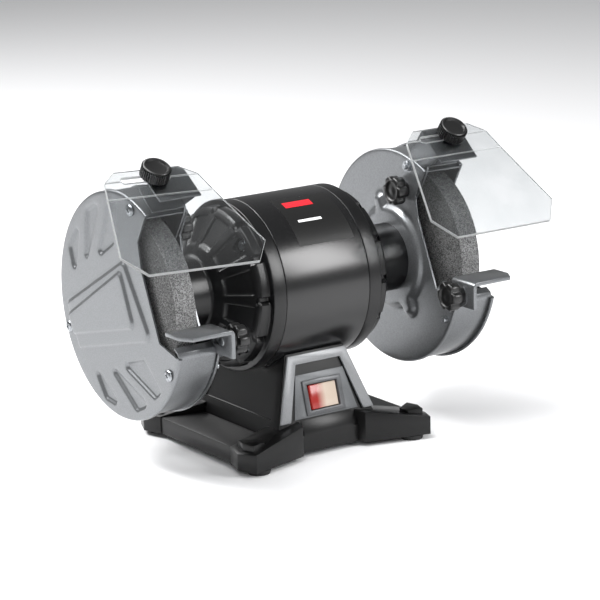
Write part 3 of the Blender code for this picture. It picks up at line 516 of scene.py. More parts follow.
def carve(bm, *steps):
    """Joins shapes to this one or cuts them from it: steps are ("UNION", shape) and so on."""
    helpers = []
    for shape in (bm, *[s for _, s in steps]):
        mesh = bpy.data.meshes.new("shape")
        shape.to_mesh(mesh)
        shape.free()
        made = bpy.data.objects.new("shape", mesh)
        bpy.context.scene.collection.objects.link(made)
        helpers.append(made)
    for (operation, _), helper in zip(steps, helpers[1:]):
        modifier = helpers[0].modifiers.new("step", "BOOLEAN")
        modifier.operation = operation
        modifier.object = helper
    result = bmesh.new()
    result.from_mesh(evaluated(helpers[0]))
    for helper in helpers:
        bpy.data.objects.remove(helper)
    return result


def softened_copy(node, width=0.3 * MM, least=30):
    """A CAD node's shape with every edge sharper than least degrees rounded."""
    bm = bmesh.new()
    bm.from_mesh(frame["nodes"][node].data)
    bmesh.ops.remove_doubles(bm, verts=bm.verts, dist=2e-6)
    bmesh.ops.dissolve_limit(bm, angle_limit=math.radians(1), verts=bm.verts, edges=bm.edges)
    return soften(bm, width, least=least)


def piece(name, shape, finish, body, nodes=(), sharp=35):
    """Names a shape, gives it its finish, and lets it ride on a body in place of CAD nodes."""
    mesh = shape
    if isinstance(shape, bmesh.types.BMesh):
        mesh = bpy.data.meshes.new(name)
        shape.to_mesh(mesh)
        shape.free()
    mesh.name = name
    if finish:
        if mesh is shape:
            mesh.materials.clear()
        for each in finish if isinstance(finish, (list, tuple)) else [finish]:
            mesh.materials.append(each)
    mesh.shade_smooth()
    mesh.set_sharp_from_angle(angle=math.radians(sharp))
    made = bpy.data.objects.new(name, mesh)
    bpy.context.scene.collection.objects.link(made)
    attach(made, body)
    if nodes:
        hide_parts(*nodes)
    return made


# %% [markdown]
# ## Motor
# The tube is rolled steel with a fine joint at each end, where a cast end bell fits. A
# bell is one turned shape: a bright rim, a notched shoulder, and a cone down to the neck.
# The lathe takes a rule that sinks its points at the notches and in shallow pockets
# between the cone's ribs, so they have soft cast edges. Booleans cut the flat spots where
# the long bolts' heads sit.

# %% Motor tube and end bells
TUBE_WALL = 2.5 * MM
tube_profile = rounded([(-TUBE_HALF, TUBE_R - TUBE_WALL), (-TUBE_HALF, TUBE_R, 0.6 * MM),
                        (TUBE_HALF, TUBE_R, 0.6 * MM), (TUBE_HALF, TUBE_R - TUBE_WALL)])
piece("motor_tube", lathe(tube_profile, count=256), black_enamel, "frame",
      ["motor_shell"])

BELL_START = TUBE_HALF + 0.3 * MM
BELL_RIM = BELL_START + 11.5 * MM
BELL_FACE = BELL_START + 19.6 * MM
SHOULDER_R = TUBE_R - 4.5 * MM
CONE_START = BELL_FACE + 1.6 * MM
CONE_END = BELL_FACE + 24.6 * MM
NECK_R = 28 * MM
NECK_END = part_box("end_bell_right")[1].x
NOTCHES = 12
NOTCH_HALF = math.radians(2.2)
NOTCH_DEEP = 3.2 * MM
POCKET_HALF = math.radians(10)
POCKET_DEEP = 1.8 * MM
POCKET_RING = (NECK_R + 9 * MM, SHOULDER_R - 6 * MM)     # radii between which it is sunk
FIRST_RIB = math.radians(1)
BOLT_SEAT_R = 5.5 * MM
BORE_R = 12 * MM
BEARING_SEAT = (17.7 * MM, 11.6 * MM)                    # radius, depth


def ramp(value):
    """0 below 0, 1 above 1, and smooth between."""
    value = min(1.0, max(0.0, value))
    return value * value * (3 - 2 * value)


def bell_shape(sign):
    """Sinks the notches in the shoulder and the shallow pockets between the cone's ribs."""
    def shape(x, r, angle):
        step = 2 * math.pi / NOTCHES
        from_rib = (angle - FIRST_RIB) % step
        away = min(from_rib, step - from_rib)
        along = min(r - POCKET_RING[0], POCKET_RING[1] - r) / (1.5 * MM)
        beside = (away - (step / 2 - POCKET_HALF)) * r / (1.2 * MM)
        on_cone = abs(x) > CONE_START
        x -= sign * on_cone * POCKET_DEEP * ramp(min(beside, along) + 0.5)
        on_shoulder = BELL_RIM + MM < abs(x) < CONE_START + MM and r > SHOULDER_R - 4 * MM
        r -= on_shoulder * NOTCH_DEEP * ramp((NOTCH_HALF - away) * r / (0.8 * MM) + 0.5)
        return x, r
    return shape


tie_spots = [middle_yz(f"tie_bolt_{i}") for i in range(1, 5)]
for name, sign in SIDES:
    outer = rounded([(BELL_START, TUBE_R - 3 * MM), (BELL_START, TUBE_R, 0.5 * MM),
                     (BELL_RIM, TUBE_R, 1 * MM), (BELL_RIM + MM, SHOULDER_R, 1 * MM),
                     (BELL_FACE, SHOULDER_R - 0.5 * MM, 1.5 * MM),
                     (CONE_START, SHOULDER_R - 2.5 * MM, 1.5 * MM),
                     (CONE_END - 2 * MM, NECK_R + 1.5 * MM, 3 * MM),
                     (CONE_END, NECK_R, 2 * MM), (NECK_END, NECK_R, 1.6 * MM),
                     (NECK_END, BORE_R)])
    fine = []
    for (a, b), (c, d) in zip(outer, outer[1:]):
        face = BELL_RIM < a < CONE_END
        steps = max(1, math.ceil(math.hypot(c - a, d - b) / (1.2 * MM if face else 8 * MM)))
        fine += [(a + (c - a) * i / steps, b + (d - b) * i / steps) for i in range(steps)]
    bearing_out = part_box("bearing_right")[1].x + 0.3 * MM
    bearing_in = bearing_out - BEARING_SEAT[1]
    inner = [outer[-1], (bearing_out, BORE_R), (bearing_out, BEARING_SEAT[0]),
             (bearing_in, BEARING_SEAT[0]),
             (bearing_in, 21.5 * MM), (bearing_in + 8.3 * MM, 22.5 * MM),
             (bearing_in + 8.3 * MM, 36 * MM), (BELL_FACE + 2 * MM, 45 * MM),
             (BELL_FACE - 3 * MM, 48 * MM), (BELL_FACE - 3 * MM, TUBE_R - 11.5 * MM),
             (BELL_RIM + 1.4 * MM, TUBE_R - 8 * MM), (BELL_RIM - MM, TUBE_R - 3 * MM)]
    profile = [(sign * x, r) for x, r in fine + inner]
    bell = lathe(profile, count=288, shape=bell_shape(sign))
    seats = [lathe([(sign * BELL_FACE, ON_AXIS), (sign * BELL_FACE, BOLT_SEAT_R),
                    (sign * CONE_END, BOLT_SEAT_R + 0.5 * MM), (sign * CONE_END, ON_AXIS)],
                   at=spot, count=32) for spot in tie_spots]
    piece("bell_" + name, carve(bell, ("DIFFERENCE", joined(*seats))), bell_enamel,
          "frame", ["end_bell_" + name], sharp=30)
print("tube and bells:", len(profile), "points in the bell's profile")


# %% [markdown]
# ## Pressed sheet
# The covers and guards are 1.5 mm steel, pressed in a die: panels sink or rise with
# slopes of 2 to 3 mm, and the rim is turned over a rounded edge. A triangulated sheet
# suits this best. Points are laid closely along every slope and widely between them, so
# that each slope is clean and the flat parts stay light. A rule then gives each point its
# height, the round part of the edge is bent over, and Solidify gives the sheet its wall.

# %% Pressed sheet tools
SHEET = 1.5 * MM


def spread(outline, spacing):
    """The same closed outline with extra points, so that no side is longer than spacing."""
    out = []
    for (a, b), (c, d) in zip(outline, outline[1:] + outline[:1]):
        count = max(1, math.ceil(math.hypot(c - a, d - b) / spacing))
        out += [(a + (c - a) * i / count, b + (d - b) * i / count) for i in range(count)]
    return out


def distance(points, outline):
    """How far each point lies from a closed outline, less than 0 inside it."""
    p = np.asarray(points)[:, None, :]
    a = np.asarray(outline)[None]
    way = np.roll(a, -1, axis=1) - a
    share = np.clip(((p - a) * way).sum(2) / (way ** 2).sum(2), 0, 1)
    nearest = np.linalg.norm(p - a - way * share[..., None], axis=2).min(1)
    level = np.where(way[..., 1] == 0, 1e-12, way[..., 1])
    crosses = (a[..., 1] > p[..., 1]) != (a[..., 1] + way[..., 1] > p[..., 1])
    left_of = p[..., 0] < a[..., 0] + way[..., 0] * (p[..., 1] - a[..., 1]) / level
    inside = (crosses & left_of).sum(1) % 2 == 1
    return np.where(inside, -nearest, nearest)


def slope(away, width):
    """1 inside an outline and 0 outside it, with a soft slope of the given width."""
    share = np.clip(0.5 - away / width, 0, 1)
    return share * share * (3 - 2 * share)


def contours(outline, width, spacing):
    """Points along an outline and on both sides of it, where its slope needs them."""
    dense = np.array(spread(outline, spacing))
    along = np.roll(dense, -1, axis=0) - np.roll(dense, 1, axis=0)
    normal = np.stack([along[:, 1], -along[:, 0]], 1) / np.linalg.norm(along, axis=1)[:, None]
    out = []
    for share in (-0.6, -0.35, -0.12, 0.12, 0.35, 0.6):
        beside = dense + normal * width * share
        true = np.abs(np.abs(distance(beside, outline)) - abs(width * share)) < 0.1 * MM
        out.append(beside[true])
    return np.vstack(out)


def pressed_sheet(edge, hole, features, width, height, x, out):
    """An open sheet at x whose heights stand towards out, 1 or -1 along X."""
    rim = spread(edge, 1.6 * MM)
    ring = spread(hole, 1.6 * MM) if hole else []
    marks = np.vstack([contours(feature, width, 1.1 * MM) for feature in features])
    size = max(max(abs(a), abs(b)) for a, b in edge)
    pitch = 3.6 * MM
    rows = np.arange(-size, size, pitch * 0.866)
    grid = np.array([(y + pitch / 2 * (i % 2), z) for i, z in enumerate(rows)
                     for y in np.arange(-size, size, pitch)])
    for feature in features:
        grid = grid[np.abs(distance(grid, feature)) > width * 0.6 + 1.2 * MM]
    inner = np.vstack([marks, grid])
    inner = inner[distance(inner, edge) < -0.9 * MM]
    if hole:
        inner = inner[distance(inner, hole) > 0.9 * MM]
    points = [Vector(p) for p in rim + ring + inner.tolist()]
    sides = [(i, (i + 1) % len(rim)) for i in range(len(rim))]
    sides += [(len(rim) + i, len(rim) + (i + 1) % len(ring)) for i in range(len(ring))]
    flat, _, faces, *_ = delaunay_2d_cdt(points, sides, [], 1, 1e-7)
    rise = height(np.array([tuple(p) for p in flat]))
    bm = bmesh.new()
    corners = [bm.verts.new((x + out * h, p.x, SHAFT_Z + p.y)) for p, h in zip(flat, rise)]
    middles = np.array([tuple(sum((flat[i] for i in face), Vector((0, 0))) / 3)
                        for face in faces])
    inside_hole = distance(middles, hole) < 0 if hole else np.zeros(len(middles), bool)
    for face, skipped in zip(faces, inside_hole):
        if not skipped:
            bm.faces.new([corners[i] for i in face])
    return bm


def turned_over(bm, radius, x, way, steps):
    """Bends the round part of the sheet's edge: steps are (shift along X, radius)."""
    def reach_of(vert):
        return math.hypot(vert.co.y, vert.co.z - SHAFT_Z)
    edges = [e for e in bm.edges if e.is_boundary
             and all(abs(reach_of(v) - radius) < 0.05 * MM for v in e.verts)]
    for shift, r in steps:
        made = bmesh.ops.extrude_edge_only(bm, edges=edges)["geom"]
        fresh = {g for g in made if isinstance(g, bmesh.types.BMVert)}
        for vert in fresh:
            scale = r / reach_of(vert)
            vert.co = (x + way * shift, vert.co.y * scale, SHAFT_Z + (vert.co.z - SHAFT_Z) * scale)
        edges = [g for g in made if isinstance(g, bmesh.types.BMEdge) and set(g.verts) <= fresh]
    return bm


def bend_steps(radius, round_r, deep):
    """Steps of a quarter bend whose last part is straight, deep in all."""
    turns = [math.radians(90 * i / 5) for i in range(1, 6)]
    out = [(round_r * (1 - math.cos(t)), radius - round_r + round_r * math.sin(t)) for t in turns]
    return out + [(deep, radius)]


def walled(bm, thickness, out):
    """Gives an open sheet its wall, on the side away from out."""
    bmesh.ops.recalc_face_normals(bm, faces=bm.faces)
    flat = max(bm.faces, key=lambda f: abs(f.normal.x) * f.calc_area())
    if flat.normal.x * out < 0:
        bmesh.ops.reverse_faces(bm, faces=bm.faces)
    mesh = bpy.data.meshes.new("sheet")
    bm.to_mesh(mesh)
    bm.free()
    made = bpy.data.objects.new("sheet", mesh)
    bpy.context.scene.collection.objects.link(made)
    wall = made.modifiers.new("wall", "SOLIDIFY")
    wall.thickness = thickness
    wall.offset = -1
    result = bmesh.new()
    result.from_mesh(evaluated(made))
    bpy.data.objects.remove(made)
    return result


def opened(radius):
    """A guard's outline: a circle of the radius with the front opening cut out of it."""
    edge = [(-59, -18, 2.5), (-35, 38, 3), (-32, 55.4, 2)]
    return arc(radius, 60, 360 - 16.4) + rounded(in_mm([(-80, -25), *edge, (-44, 76)]))[1:-1]


# %% [markdown]
# The covers carry the look of the machine: a broad trapezoid rises in two terraces from
# the shaft to the rear rim, and six sunk panels like petals stiffen the rest.

# %% Guard covers
TERRACES = [[(77.7, -11.5, 2), (-12, 38, 5), (-48.5, -18, 6), (61.6, -45.3, 2)],
            [(77, -22, 2), (-9.4, 29.9, 4), (-27, -12, 5), (70.3, -35.5, 2)]]
PETALS = [[(53.7, 61.1, 3), (73.4, 35.1, 4), (66.1, 10.4, 3)],
          [(43.7, 69.2, 3), (22.8, 78.9, 3), (49.5, 20.8, 2)],
          [(10.6, 80.1, 3), (-3.1, 82.3, 3), (4.1, 48.9, 4), (29.8, 33.2, 3)],
          [(43.6, -55.4, 2), (25.4, -79.3, 4), (-0.4, -82.5, 3)],
          [(22.8, -47.7, 2), (-40.1, -71, 3), (-21.7, -79.2, 4)],
          [(-1.8, -45.7, 3), (-35.4, -36.2, 4), (-58.7, -56.5, 3), (-49.5, -63.3, 4)]]
TERRACE_HIGH = 2.0 * MM
PETAL_DEEP = 2.2 * MM
SLOPE_WIDE = 3.4 * MM
COVER_LIP = 3.6 * MM
COVER_BEND = 2 * MM


def cover_height(points):
    reach_of = np.linalg.norm(points, axis=1)
    fade = slope(reach_of - 81 * MM, 10 * MM)
    rise = np.zeros(len(points))
    for terrace in terraces:
        rise += TERRACE_HIGH * fade * slope(distance(points, terrace), SLOPE_WIDE)
    for petal in petals:
        rise -= PETAL_DEEP * slope(distance(points, petal), SLOPE_WIDE)
    return rise


terraces = [rounded(in_mm(outline)) for outline in TERRACES]
petals = [rounded(in_mm(outline)) for outline in PETALS]
for name, sign in SIDES:
    face_r = COVER_R - COVER_BEND
    sheet = pressed_sheet(opened(face_r), None, terraces + petals, SLOPE_WIDE, cover_height,
                          sign * COVER_FACE, sign)
    turned_over(sheet, face_r, sign * COVER_FACE, -sign,
                bend_steps(COVER_R, COVER_BEND, COVER_LIP))
    cover = piece("cover_" + name, walled(sheet, SHEET, sign), silver_enamel, "frame",
                  ["guard_cover_" + name])
print("cover:", len(cover.data.polygons), "faces")

# %% [markdown]
# Each guard is two pieces welded together: an inner plate, which is pressed out in a boss
# round the motor's neck, and a rolled band over the wheel. The plate's own rim is turned
# over and stands a little proud, so a dark line shows between plate and band.

# %% Guard plates and bands
PLATE_R = 89 * MM
PLATE_BEND = 2 * MM
BOSS_HIGH = 4.5 * MM
BOSS_SLOPE = 7 * MM
LOBES = ((45 * MM, 7 * MM, 108), (45 * MM, 7 * MM, -58))
BAND = (86.2 * MM, 87.7 * MM)
BAND_GAP = 0.9 * MM
TAB = [(-59, -18), (-67, -9, 3), (-99, -9, 6), (-99, -22, 5), (-86, -29, 5), (-63, -29)]


def boss_outline():
    """A circle round the motor's neck with two small lobes, where the plate is bolted on."""
    out = []
    for degrees in range(0, 360, 3):
        radius = 41.5 * MM
        for middle_r, lobe_r, at in LOBES:
            turn = math.radians(degrees - at)
            inside = lobe_r ** 2 - (middle_r * math.sin(turn)) ** 2
            if inside > 0 and math.cos(turn) > 0:
                radius = max(radius, middle_r * math.cos(turn) + math.sqrt(inside))
        out.append(polar(radius, degrees))
    return out


boss = boss_outline()
tab_edge = rounded(in_mm(TAB))
for name, sign in SIDES:
    plate_edge = opened(PLATE_R - PLATE_BEND)
    sheet = pressed_sheet(plate_edge, arc(14 * MM, 0, 360)[:-1], [boss], BOSS_SLOPE,
                          lambda points: BOSS_HIGH * slope(distance(points, boss), BOSS_SLOPE),
                          sign * PLATE_IN, -sign)
    turned_over(sheet, PLATE_R - PLATE_BEND, sign * PLATE_IN, sign,
                bend_steps(PLATE_R, PLATE_BEND, 3.0 * MM))
    plate = walled(sheet, SHEET, -sign)
    tab = prism([(y, SHAFT_Z + z) for y, z in tab_edge], sign * (PLATE_IN + 0.02 * MM),
                sign * (PLATE_IN + SHEET - 0.02 * MM), "yzx")
    piece("guard_plate_" + name, joined(plate, soften(tab, 0.3 * MM)), silver_enamel, "frame",
          ["wheel_guard_" + name])

    foot = polar(BAND[0], 360 - 16.4)
    path = arc(sum(BAND) / 2, 60, 360 - 16.4, 2)
    path += rounded([path[-1], (foot[0] + 0.4 * MM, foot[1] + 3 * MM),
                     (foot[0] + 5.5 * MM, foot[1] + 6 * MM)])[1:]
    band = prism([(y, SHAFT_Z + z) for y, z in ribbon(path, SHEET)],
                 sign * (PLATE_IN + 3.0 * MM + BAND_GAP), sign * (COVER_FACE - SHEET - 0.3 * MM),
                 "yzx")
    piece("guard_band_" + name, soften(band, 0.2 * MM, least=50), silver_enamel, "frame")
print("guards made on both sides")

# %% [markdown]
# ## Wheels and shaft
# A wheel is turned: a plain disc with a shallow recess for its flange and small chamfers,
# where the dresser broke the edges. The flanges, the nuts and the neck beside the wheel
# are turned or milled steel.

# %% Wheels, flanges and nuts
FLANGE_R = 25 * MM
SPINDLE_R = 6.55 * MM
HUB_R = 11 * MM
SIDE_GAP = 0.3 * MM          # between the wheel and each flange
for name, sign in SIDES:
    recess = WHEEL_OUT - 3 * MM
    profile = rounded([(WHEEL_IN, SPINDLE_R), (WHEEL_IN, WHEEL_R, 0.8 * MM),
                       (WHEEL_OUT, WHEEL_R, 0.8 * MM), (WHEEL_OUT, FLANGE_R + 3 * MM, 1 * MM),
                       (recess, FLANGE_R + 3 * MM, 1.5 * MM), (recess, SPINDLE_R)], 3)
    piece("wheel_" + name, lathe([(sign * x, r) for x, r in profile], count=200), grit,
          "rotor", ["grinding_wheel_" + name])
    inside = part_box("inner_flange_" + name)
    near = min(abs(inside[0].x), abs(inside[1].x))
    step, rim = WHEEL_IN - 4.3 * MM, WHEEL_IN - SIDE_GAP
    profile = rounded([(near, SPINDLE_R), (near, HUB_R, 0.6 * MM), (step, HUB_R, 2 * MM),
                       (step, FLANGE_R, 1 * MM), (rim, FLANGE_R, 0.4 * MM),
                       (rim, SPINDLE_R)], 3)
    piece("flange_in_" + name, lathe([(sign * x, r) for x, r in profile], count=96),
          ground_steel, "rotor", ["inner_flange_" + name])
    near, rim = recess + SIDE_GAP, WHEEL_OUT - SIDE_GAP
    profile = rounded([(near, SPINDLE_R), (near, FLANGE_R, 0.4 * MM),
                       (rim, FLANGE_R, 0.8 * MM), (rim, SPINDLE_R)], 3)
    piece("flange_out_" + name, lathe([(sign * x, r) for x, r in profile], count=96),
          ground_steel, "rotor", ["outer_flange_" + name])
    piece("nut_" + name, softened_copy("wheel_nut_" + name, 0.5 * MM), zinc_plate, "rotor",
          ["wheel_nut_" + name])
print("two wheels with flanges and nuts")

# %% [markdown]
# ## Shields, arrestors and tool rests
# These are all bent from flat sheet, and the frame has their exact shape. Copies with
# their edges broken are enough. On the shields every small face is a sawn edge or a fold,
# and those faces get the whitish frosted finish: frosting on the sawn edges, a painted
# highlight on the folds.

# %% Eye shields, brackets and spark arrestors
EDGE_AND_FOLD_AREA = 300 * MM * MM        # a shield's face smaller than this is an edge or a fold
for name, sign in SIDES:
    shield = softened_copy("eye_shield_" + name, 0.35 * MM, least=1.4)
    for face in shield.faces:
        # Small faces take the second finish: frosting on sawn edges, painted highlight on folds.
        face.material_index = int(face.calc_area() < EDGE_AND_FOLD_AREA)
    piece("shield_" + name, shield, [clear_sheet, edge_frost_and_fold_highlight], "shield_" + name,
          ["eye_shield_" + name], sharp=12)
    for kind, node in (("bracket_", "shield_bracket_"), ("arrestor_", "spark_arrestor_")):
        piece(kind + name, softened_copy(node + name, 0.3 * MM), silver_enamel, kind + name,
              [node + name])
print("shields, brackets and arrestors softened")

# %% [markdown]
# A tool rest is 3 mm steel bent down at right angles beside the guard. The bend has an
# outer radius of 4 mm, and the front corner is cut off so that it can't catch a sleeve.
# The section is drawn with its bend, stretched along the rest, and cut to its outline.

# %% Tool rests
REST_SHEET = 3 * MM
REST_BEND = 2.5 * MM
REST_SLOT = [(-4.6, -3.2, 3), (11, -3.2, 3), (11, 3.2, 3), (-4.6, 3.2, 3)]
for name, sign in SIDES:
    low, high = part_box("tool_rest_" + name)
    near, far = sorted((abs(low.x), abs(high.x)))
    top, under = high.z, low.z
    half = REST_SHEET / 2
    path = [(sign * far, top - half), (sign * (near + half), top - half, REST_BEND),
            (sign * (near + half), under)]
    rest = prism(ribbon(rounded(path, 6), REST_SHEET), low.y, high.y, "xzy")
    bolt_y, bolt_z = middle_yz("rest_bolt_" + name)
    corner = prism([(sign * (far - 7 * MM), low.y - MM), (sign * (far + 9 * MM), low.y - MM),
                    (sign * (far + 9 * MM), low.y + 24 * MM), (sign * far, low.y + 11 * MM)],
                   top - 9 * MM, top + 9 * MM)
    window = prism([(bolt_y + y, bolt_z + z) for y, z in rounded(in_mm(REST_SLOT))],
                   sign * (near - 4 * MM), sign * (near + 3.2 * MM), "yzx")
    rest = soften(carve(rest, ("DIFFERENCE", corner), ("DIFFERENCE", window)), 0.4 * MM,
                  least=40)
    piece("rest_" + name, rest, silver_enamel, "rest_" + name,
          ["tool_rest_" + name])
print("tool rests bent, cut and slotted")

# %% [markdown]
# ## Base
# The base is one injection moulding: a low slab, four splayed feet and a tapered pedestal
# that carries the motor. Real mouldings have draft and small radii everywhere, so each
# block gets its bevel first, and Booleans join the blocks and cut the motor's seat.

# %% Base moulding
SLAB_TOP = 14 * MM
WALL = 3.5 * MM
PEDESTAL = ((45.8, 61.2, 22.5), (28.7, 46.4, 75.4))    # half width, half depth, height
FOOT = [(26, 58), (30, 72), (84, 86.5), (91, 70), (86, 52), (48, 44)]
PAD = [(68, 66), (69, 76), (81.5, 79.5), (85, 68), (82, 57)]
LEDGE = [(-65, 1), (-65, 17), (-60.4, 26), (-48, 26), (-48, 1)]    # side view, (y, z)


def pedestal_ring(height, inset=0.0):
    """The four corners of the tapered pedestal at a height in millimetres."""
    (wide, deep, low), (top_wide, top_deep, high) = PEDESTAL
    share = (height - low) / (high - low)
    x = wide + (top_wide - wide) * share - inset
    y = deep + (top_deep - deep) * share - inset
    return [(a * x * MM, b * y * MM, height * MM) for a, b in ((-1, -1), (1, -1), (1, 1), (-1, 1))]


def loft(rings):
    """A solid through rings of points, closed at both ends."""
    bm = bmesh.new()
    rows = [[bm.verts.new(p) for p in ring] for ring in rings]
    count = len(rows[0])
    for one, two in zip(rows, rows[1:]):
        for i in range(count):
            j = (i + 1) % count
            bm.faces.new((one[i], one[j], two[j], two[i]))
    bm.faces.new(rows[0])
    bm.faces.new(rows[-1])
    bmesh.ops.recalc_face_normals(bm, faces=bm.faces)
    return bm


def slab_edge(inset):
    quarter = ((27 - inset, 65 - inset), (85 - inset, 58 - inset))
    back = quarter[::-1]
    turns = ((1, 1, quarter), (1, -1, back), (-1, -1, quarter), (-1, 1, back))
    return [(a * x * MM, b * y * MM) for a, b, points in turns for x, y in points]


def sloped(start, end):
    """A top that falls from the foot's inner end to its outer end."""
    def top(x, y):
        share = (abs(x) - 30 * MM) / (54 * MM)
        return (start + share * (end - start)) * MM
    return top


steps = [("UNION", soften(loft([pedestal_ring(13), pedestal_ring(83.4)]), 1.2 * MM, 3)),
         ("UNION", soften(prism(in_mm(LEDGE), -24.7 * MM, 24.7 * MM, "yzx"), 0.5 * MM))]
for a in (-1, 1):
    for b in (-1, 1):
        foot = prism([(a * x * MM, b * y * MM) for x, y in FOOT], 0, sloped(25, 15))
        pad = prism([(a * x * MM, b * y * MM) for x, y in PAD], 5 * MM, 20.5 * MM)
        steps += [("UNION", soften(foot, 0.6 * MM)), ("UNION", soften(pad, 0.5 * MM))]
for a in (-1, 1):
    low, high = pedestal_ring(27), pedestal_ring(70)
    inset = [low[0 if a < 0 else 1], low[3 if a < 0 else 2], high[3 if a < 0 else 2],
             high[0 if a < 0 else 1]]
    inset = [Vector((x, y * share, z)) for (x, y, z), share in zip(inset, (0.8, 0.8, 0.76, 0.76))]
    steps.append(("DIFFERENCE", soften(loft([[p + Vector((a * 4 * MM, 0, 0)) for p in inset],
                                             [p - Vector((a * 0.9 * MM, 0, 0)) for p in inset]]),
                                       0.3 * MM, 1)))
seat = lathe([(-90 * MM, 1e-4), (-90 * MM, TUBE_R + 0.3 * MM), (90 * MM, TUBE_R + 0.3 * MM),
              (90 * MM, 1e-4)], count=128)
steps.append(("DIFFERENCE", seat))
hollow = loft([pedestal_ring(9.5, 3.5), pedestal_ring(75.4, 3.5)])
seat_wall = lathe([(-90 * MM, 1e-4), (-90 * MM, TUBE_R + 3.8 * MM), (90 * MM, TUBE_R + 3.8 * MM),
                   (90 * MM, 1e-4)], count=128)
steps += [("DIFFERENCE", prism(slab_edge(3.5), -MM, SLAB_TOP - WALL)),
          ("DIFFERENCE", carve(hollow, ("DIFFERENCE", seat_wall)))]
base = carve(soften(prism(slab_edge(0), 0, SLAB_TOP), 0.9 * MM), *steps)
window = prism([(-16 * MM, 30 * MM), (16 * MM, 30 * MM), (16 * MM, 53 * MM), (-16 * MM, 53 * MM)],
               -80 * MM, -30 * MM, "xzy")
base = carve(base, ("DIFFERENCE", window))
piece("base_moulding", base, black_abs, "frame", ["base_housing"], sharp=30)
print("base moulding joined from", len(steps), "steps")

# %% [markdown]
# The switch sits in a silver frame that is open at the bottom. Inside it is a thin panel, painted
# darker grey as the shade of its recess. The rocker's end is clear red, and its face is painted pale: a painted
# glow.

# %% Switch, its frame and the panel behind it
piece("silver_frame", softened_copy("front_trim", 0.5 * MM), silver_abs, "frame",
      ["front_trim"])
lean = math.atan2((61.2 - 46.4), (75.4 - 22.5))


def on_front(points, lift):
    """Points (x, z) in mm on the pedestal's sloping front, lifted off it."""
    out = []
    for x, z in points:
        y = -(61.2 + (46.4 - 61.2) * (z - 22.5) / (75.4 - 22.5))
        out.append((x * MM, (y - lift * math.cos(lean)) * MM, (z + lift * math.sin(lean)) * MM))
    return out


panel_edge = [(-30.5, 26.8), (30.5, 26.8), (23.0, 60), (-23.0, 60)]
opening = [(-15.2, 31), (15.2, 31), (15.2, 52), (-15.2, 52)]
panel = carve(loft([on_front(panel_edge, 0.1), on_front(panel_edge, 1.0)]),
              ("DIFFERENCE", loft([on_front(opening, -5), on_front(opening, 5)])))
# The panel's darker grey is painted shade of its recess, which is not modelled.
piece("switch_panel", soften(panel, 0.25 * MM), panel_painted_shade, "frame")
piece("switch_bezel", softened_copy("switch_housing", 0.5 * MM), bezel_paint, "frame",
      ["switch_housing"])
rocker = softened_copy("switch_rocker", 0.7 * MM)
# The faces towards the front take the painted glow; the others are red lens.
for face in rocker.faces:
    face.material_index = int(abs(face.normal.x) < 0.7 and face.normal.y < 0)
piece("rocker_cap", rocker, [red_lens, painted_glow_lens], "rocker", ["switch_rocker"])
print("switch fitted")

# %% [markdown]
# Rubber feet and the cord gland are turned. The feet are screwed on, so each has a small
# hollow below; the gland's tail has rings that let it flex.

# %% Rubber feet and cord gland
for row in ("front", "rear"):
    for name, sign in SIDES:
        node = f"rubber_foot_{row}_{name}"
        low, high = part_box(node)
        foot_r = (high.x - low.x) / 2
        floor_of_hollow = low.z + 2 * MM
        profile = rounded([(low.z, 3 * MM, 0.5 * MM), (low.z, foot_r - 0.8 * MM, 0.6 * MM),
                           (high.z, foot_r, 0.3 * MM), (high.z, 0.2 * MM),
                           (floor_of_hollow, 0.2 * MM), (floor_of_hollow, 3 * MM, 0.3 * MM)], 3)
        rings = [circle_ring(r / MM, z / MM, 48) for z, r in profile]
        foot = moved(loft(rings[-2:] + rings[:-1]), Matrix.Translation(
            ((low.x + high.x) / 2, (low.y + high.y) / 2, 0)))
        piece("foot_" + row + "_" + name, foot, foot_rubber, "frame", [node])
low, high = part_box("cord_gland")
start, end = low.y + 6 * MM, high.y
gland_z = (low.z + high.z) / 2
outer = [(start + 0.3 * MM, 10 * MM), (start + 3 * MM, 10 * MM), (start + 4 * MM, 8 * MM)]
for i in range(4):
    at, r = start + (5 + i * 2.7) * MM, (7.6 - i * 0.5) * MM
    groove = r - 1.1 * MM
    outer += [(at, r), (at + 1.5 * MM, r), (at + 1.9 * MM, groove), (at + 2.4 * MM, groove)]
profile = outer + [(end, 5.4 * MM), (end, 3.6 * MM), (low.y, 3.6 * MM), (low.y, 4.2 * MM),
                   (start + 0.3 * MM, 4.2 * MM)]
gland = lathe(profile, at=(0, 0), count=48)
moved(gland, Matrix.Translation((0, 0, gland_z)) @ Matrix.Rotation(math.pi / 2, 4, "Z"))
piece("gland", gland, foot_rubber, "frame", ["cord_gland"])
print("four feet and a gland")

# %% [markdown]
# ## Knobs
# The clamping knobs have six lobes with narrow notches, so that a gloved hand can turn
# them. Rings of points with that rule are stacked along the axis, and the first and last
# rings shrink, which rounds the edges.

# %% Star knobs
STAR_DEEP = 16 * MM
LOBE_COUNT = 6
STUD_R = 2.4 * MM


def lobed_ring(x, radius, notch, at, count=144):
    """A ring of points at x, with a notch between each two lobes."""
    out = []
    for i in range(count):
        turn = 2 * math.pi * i / count
        dip = (0.5 - 0.5 * math.cos(LOBE_COUNT * turn)) ** 3
        r = radius * (1 - notch * dip)
        out.append((x, at[0] + r * math.cos(turn), at[1] + r * math.sin(turn)))
    return out


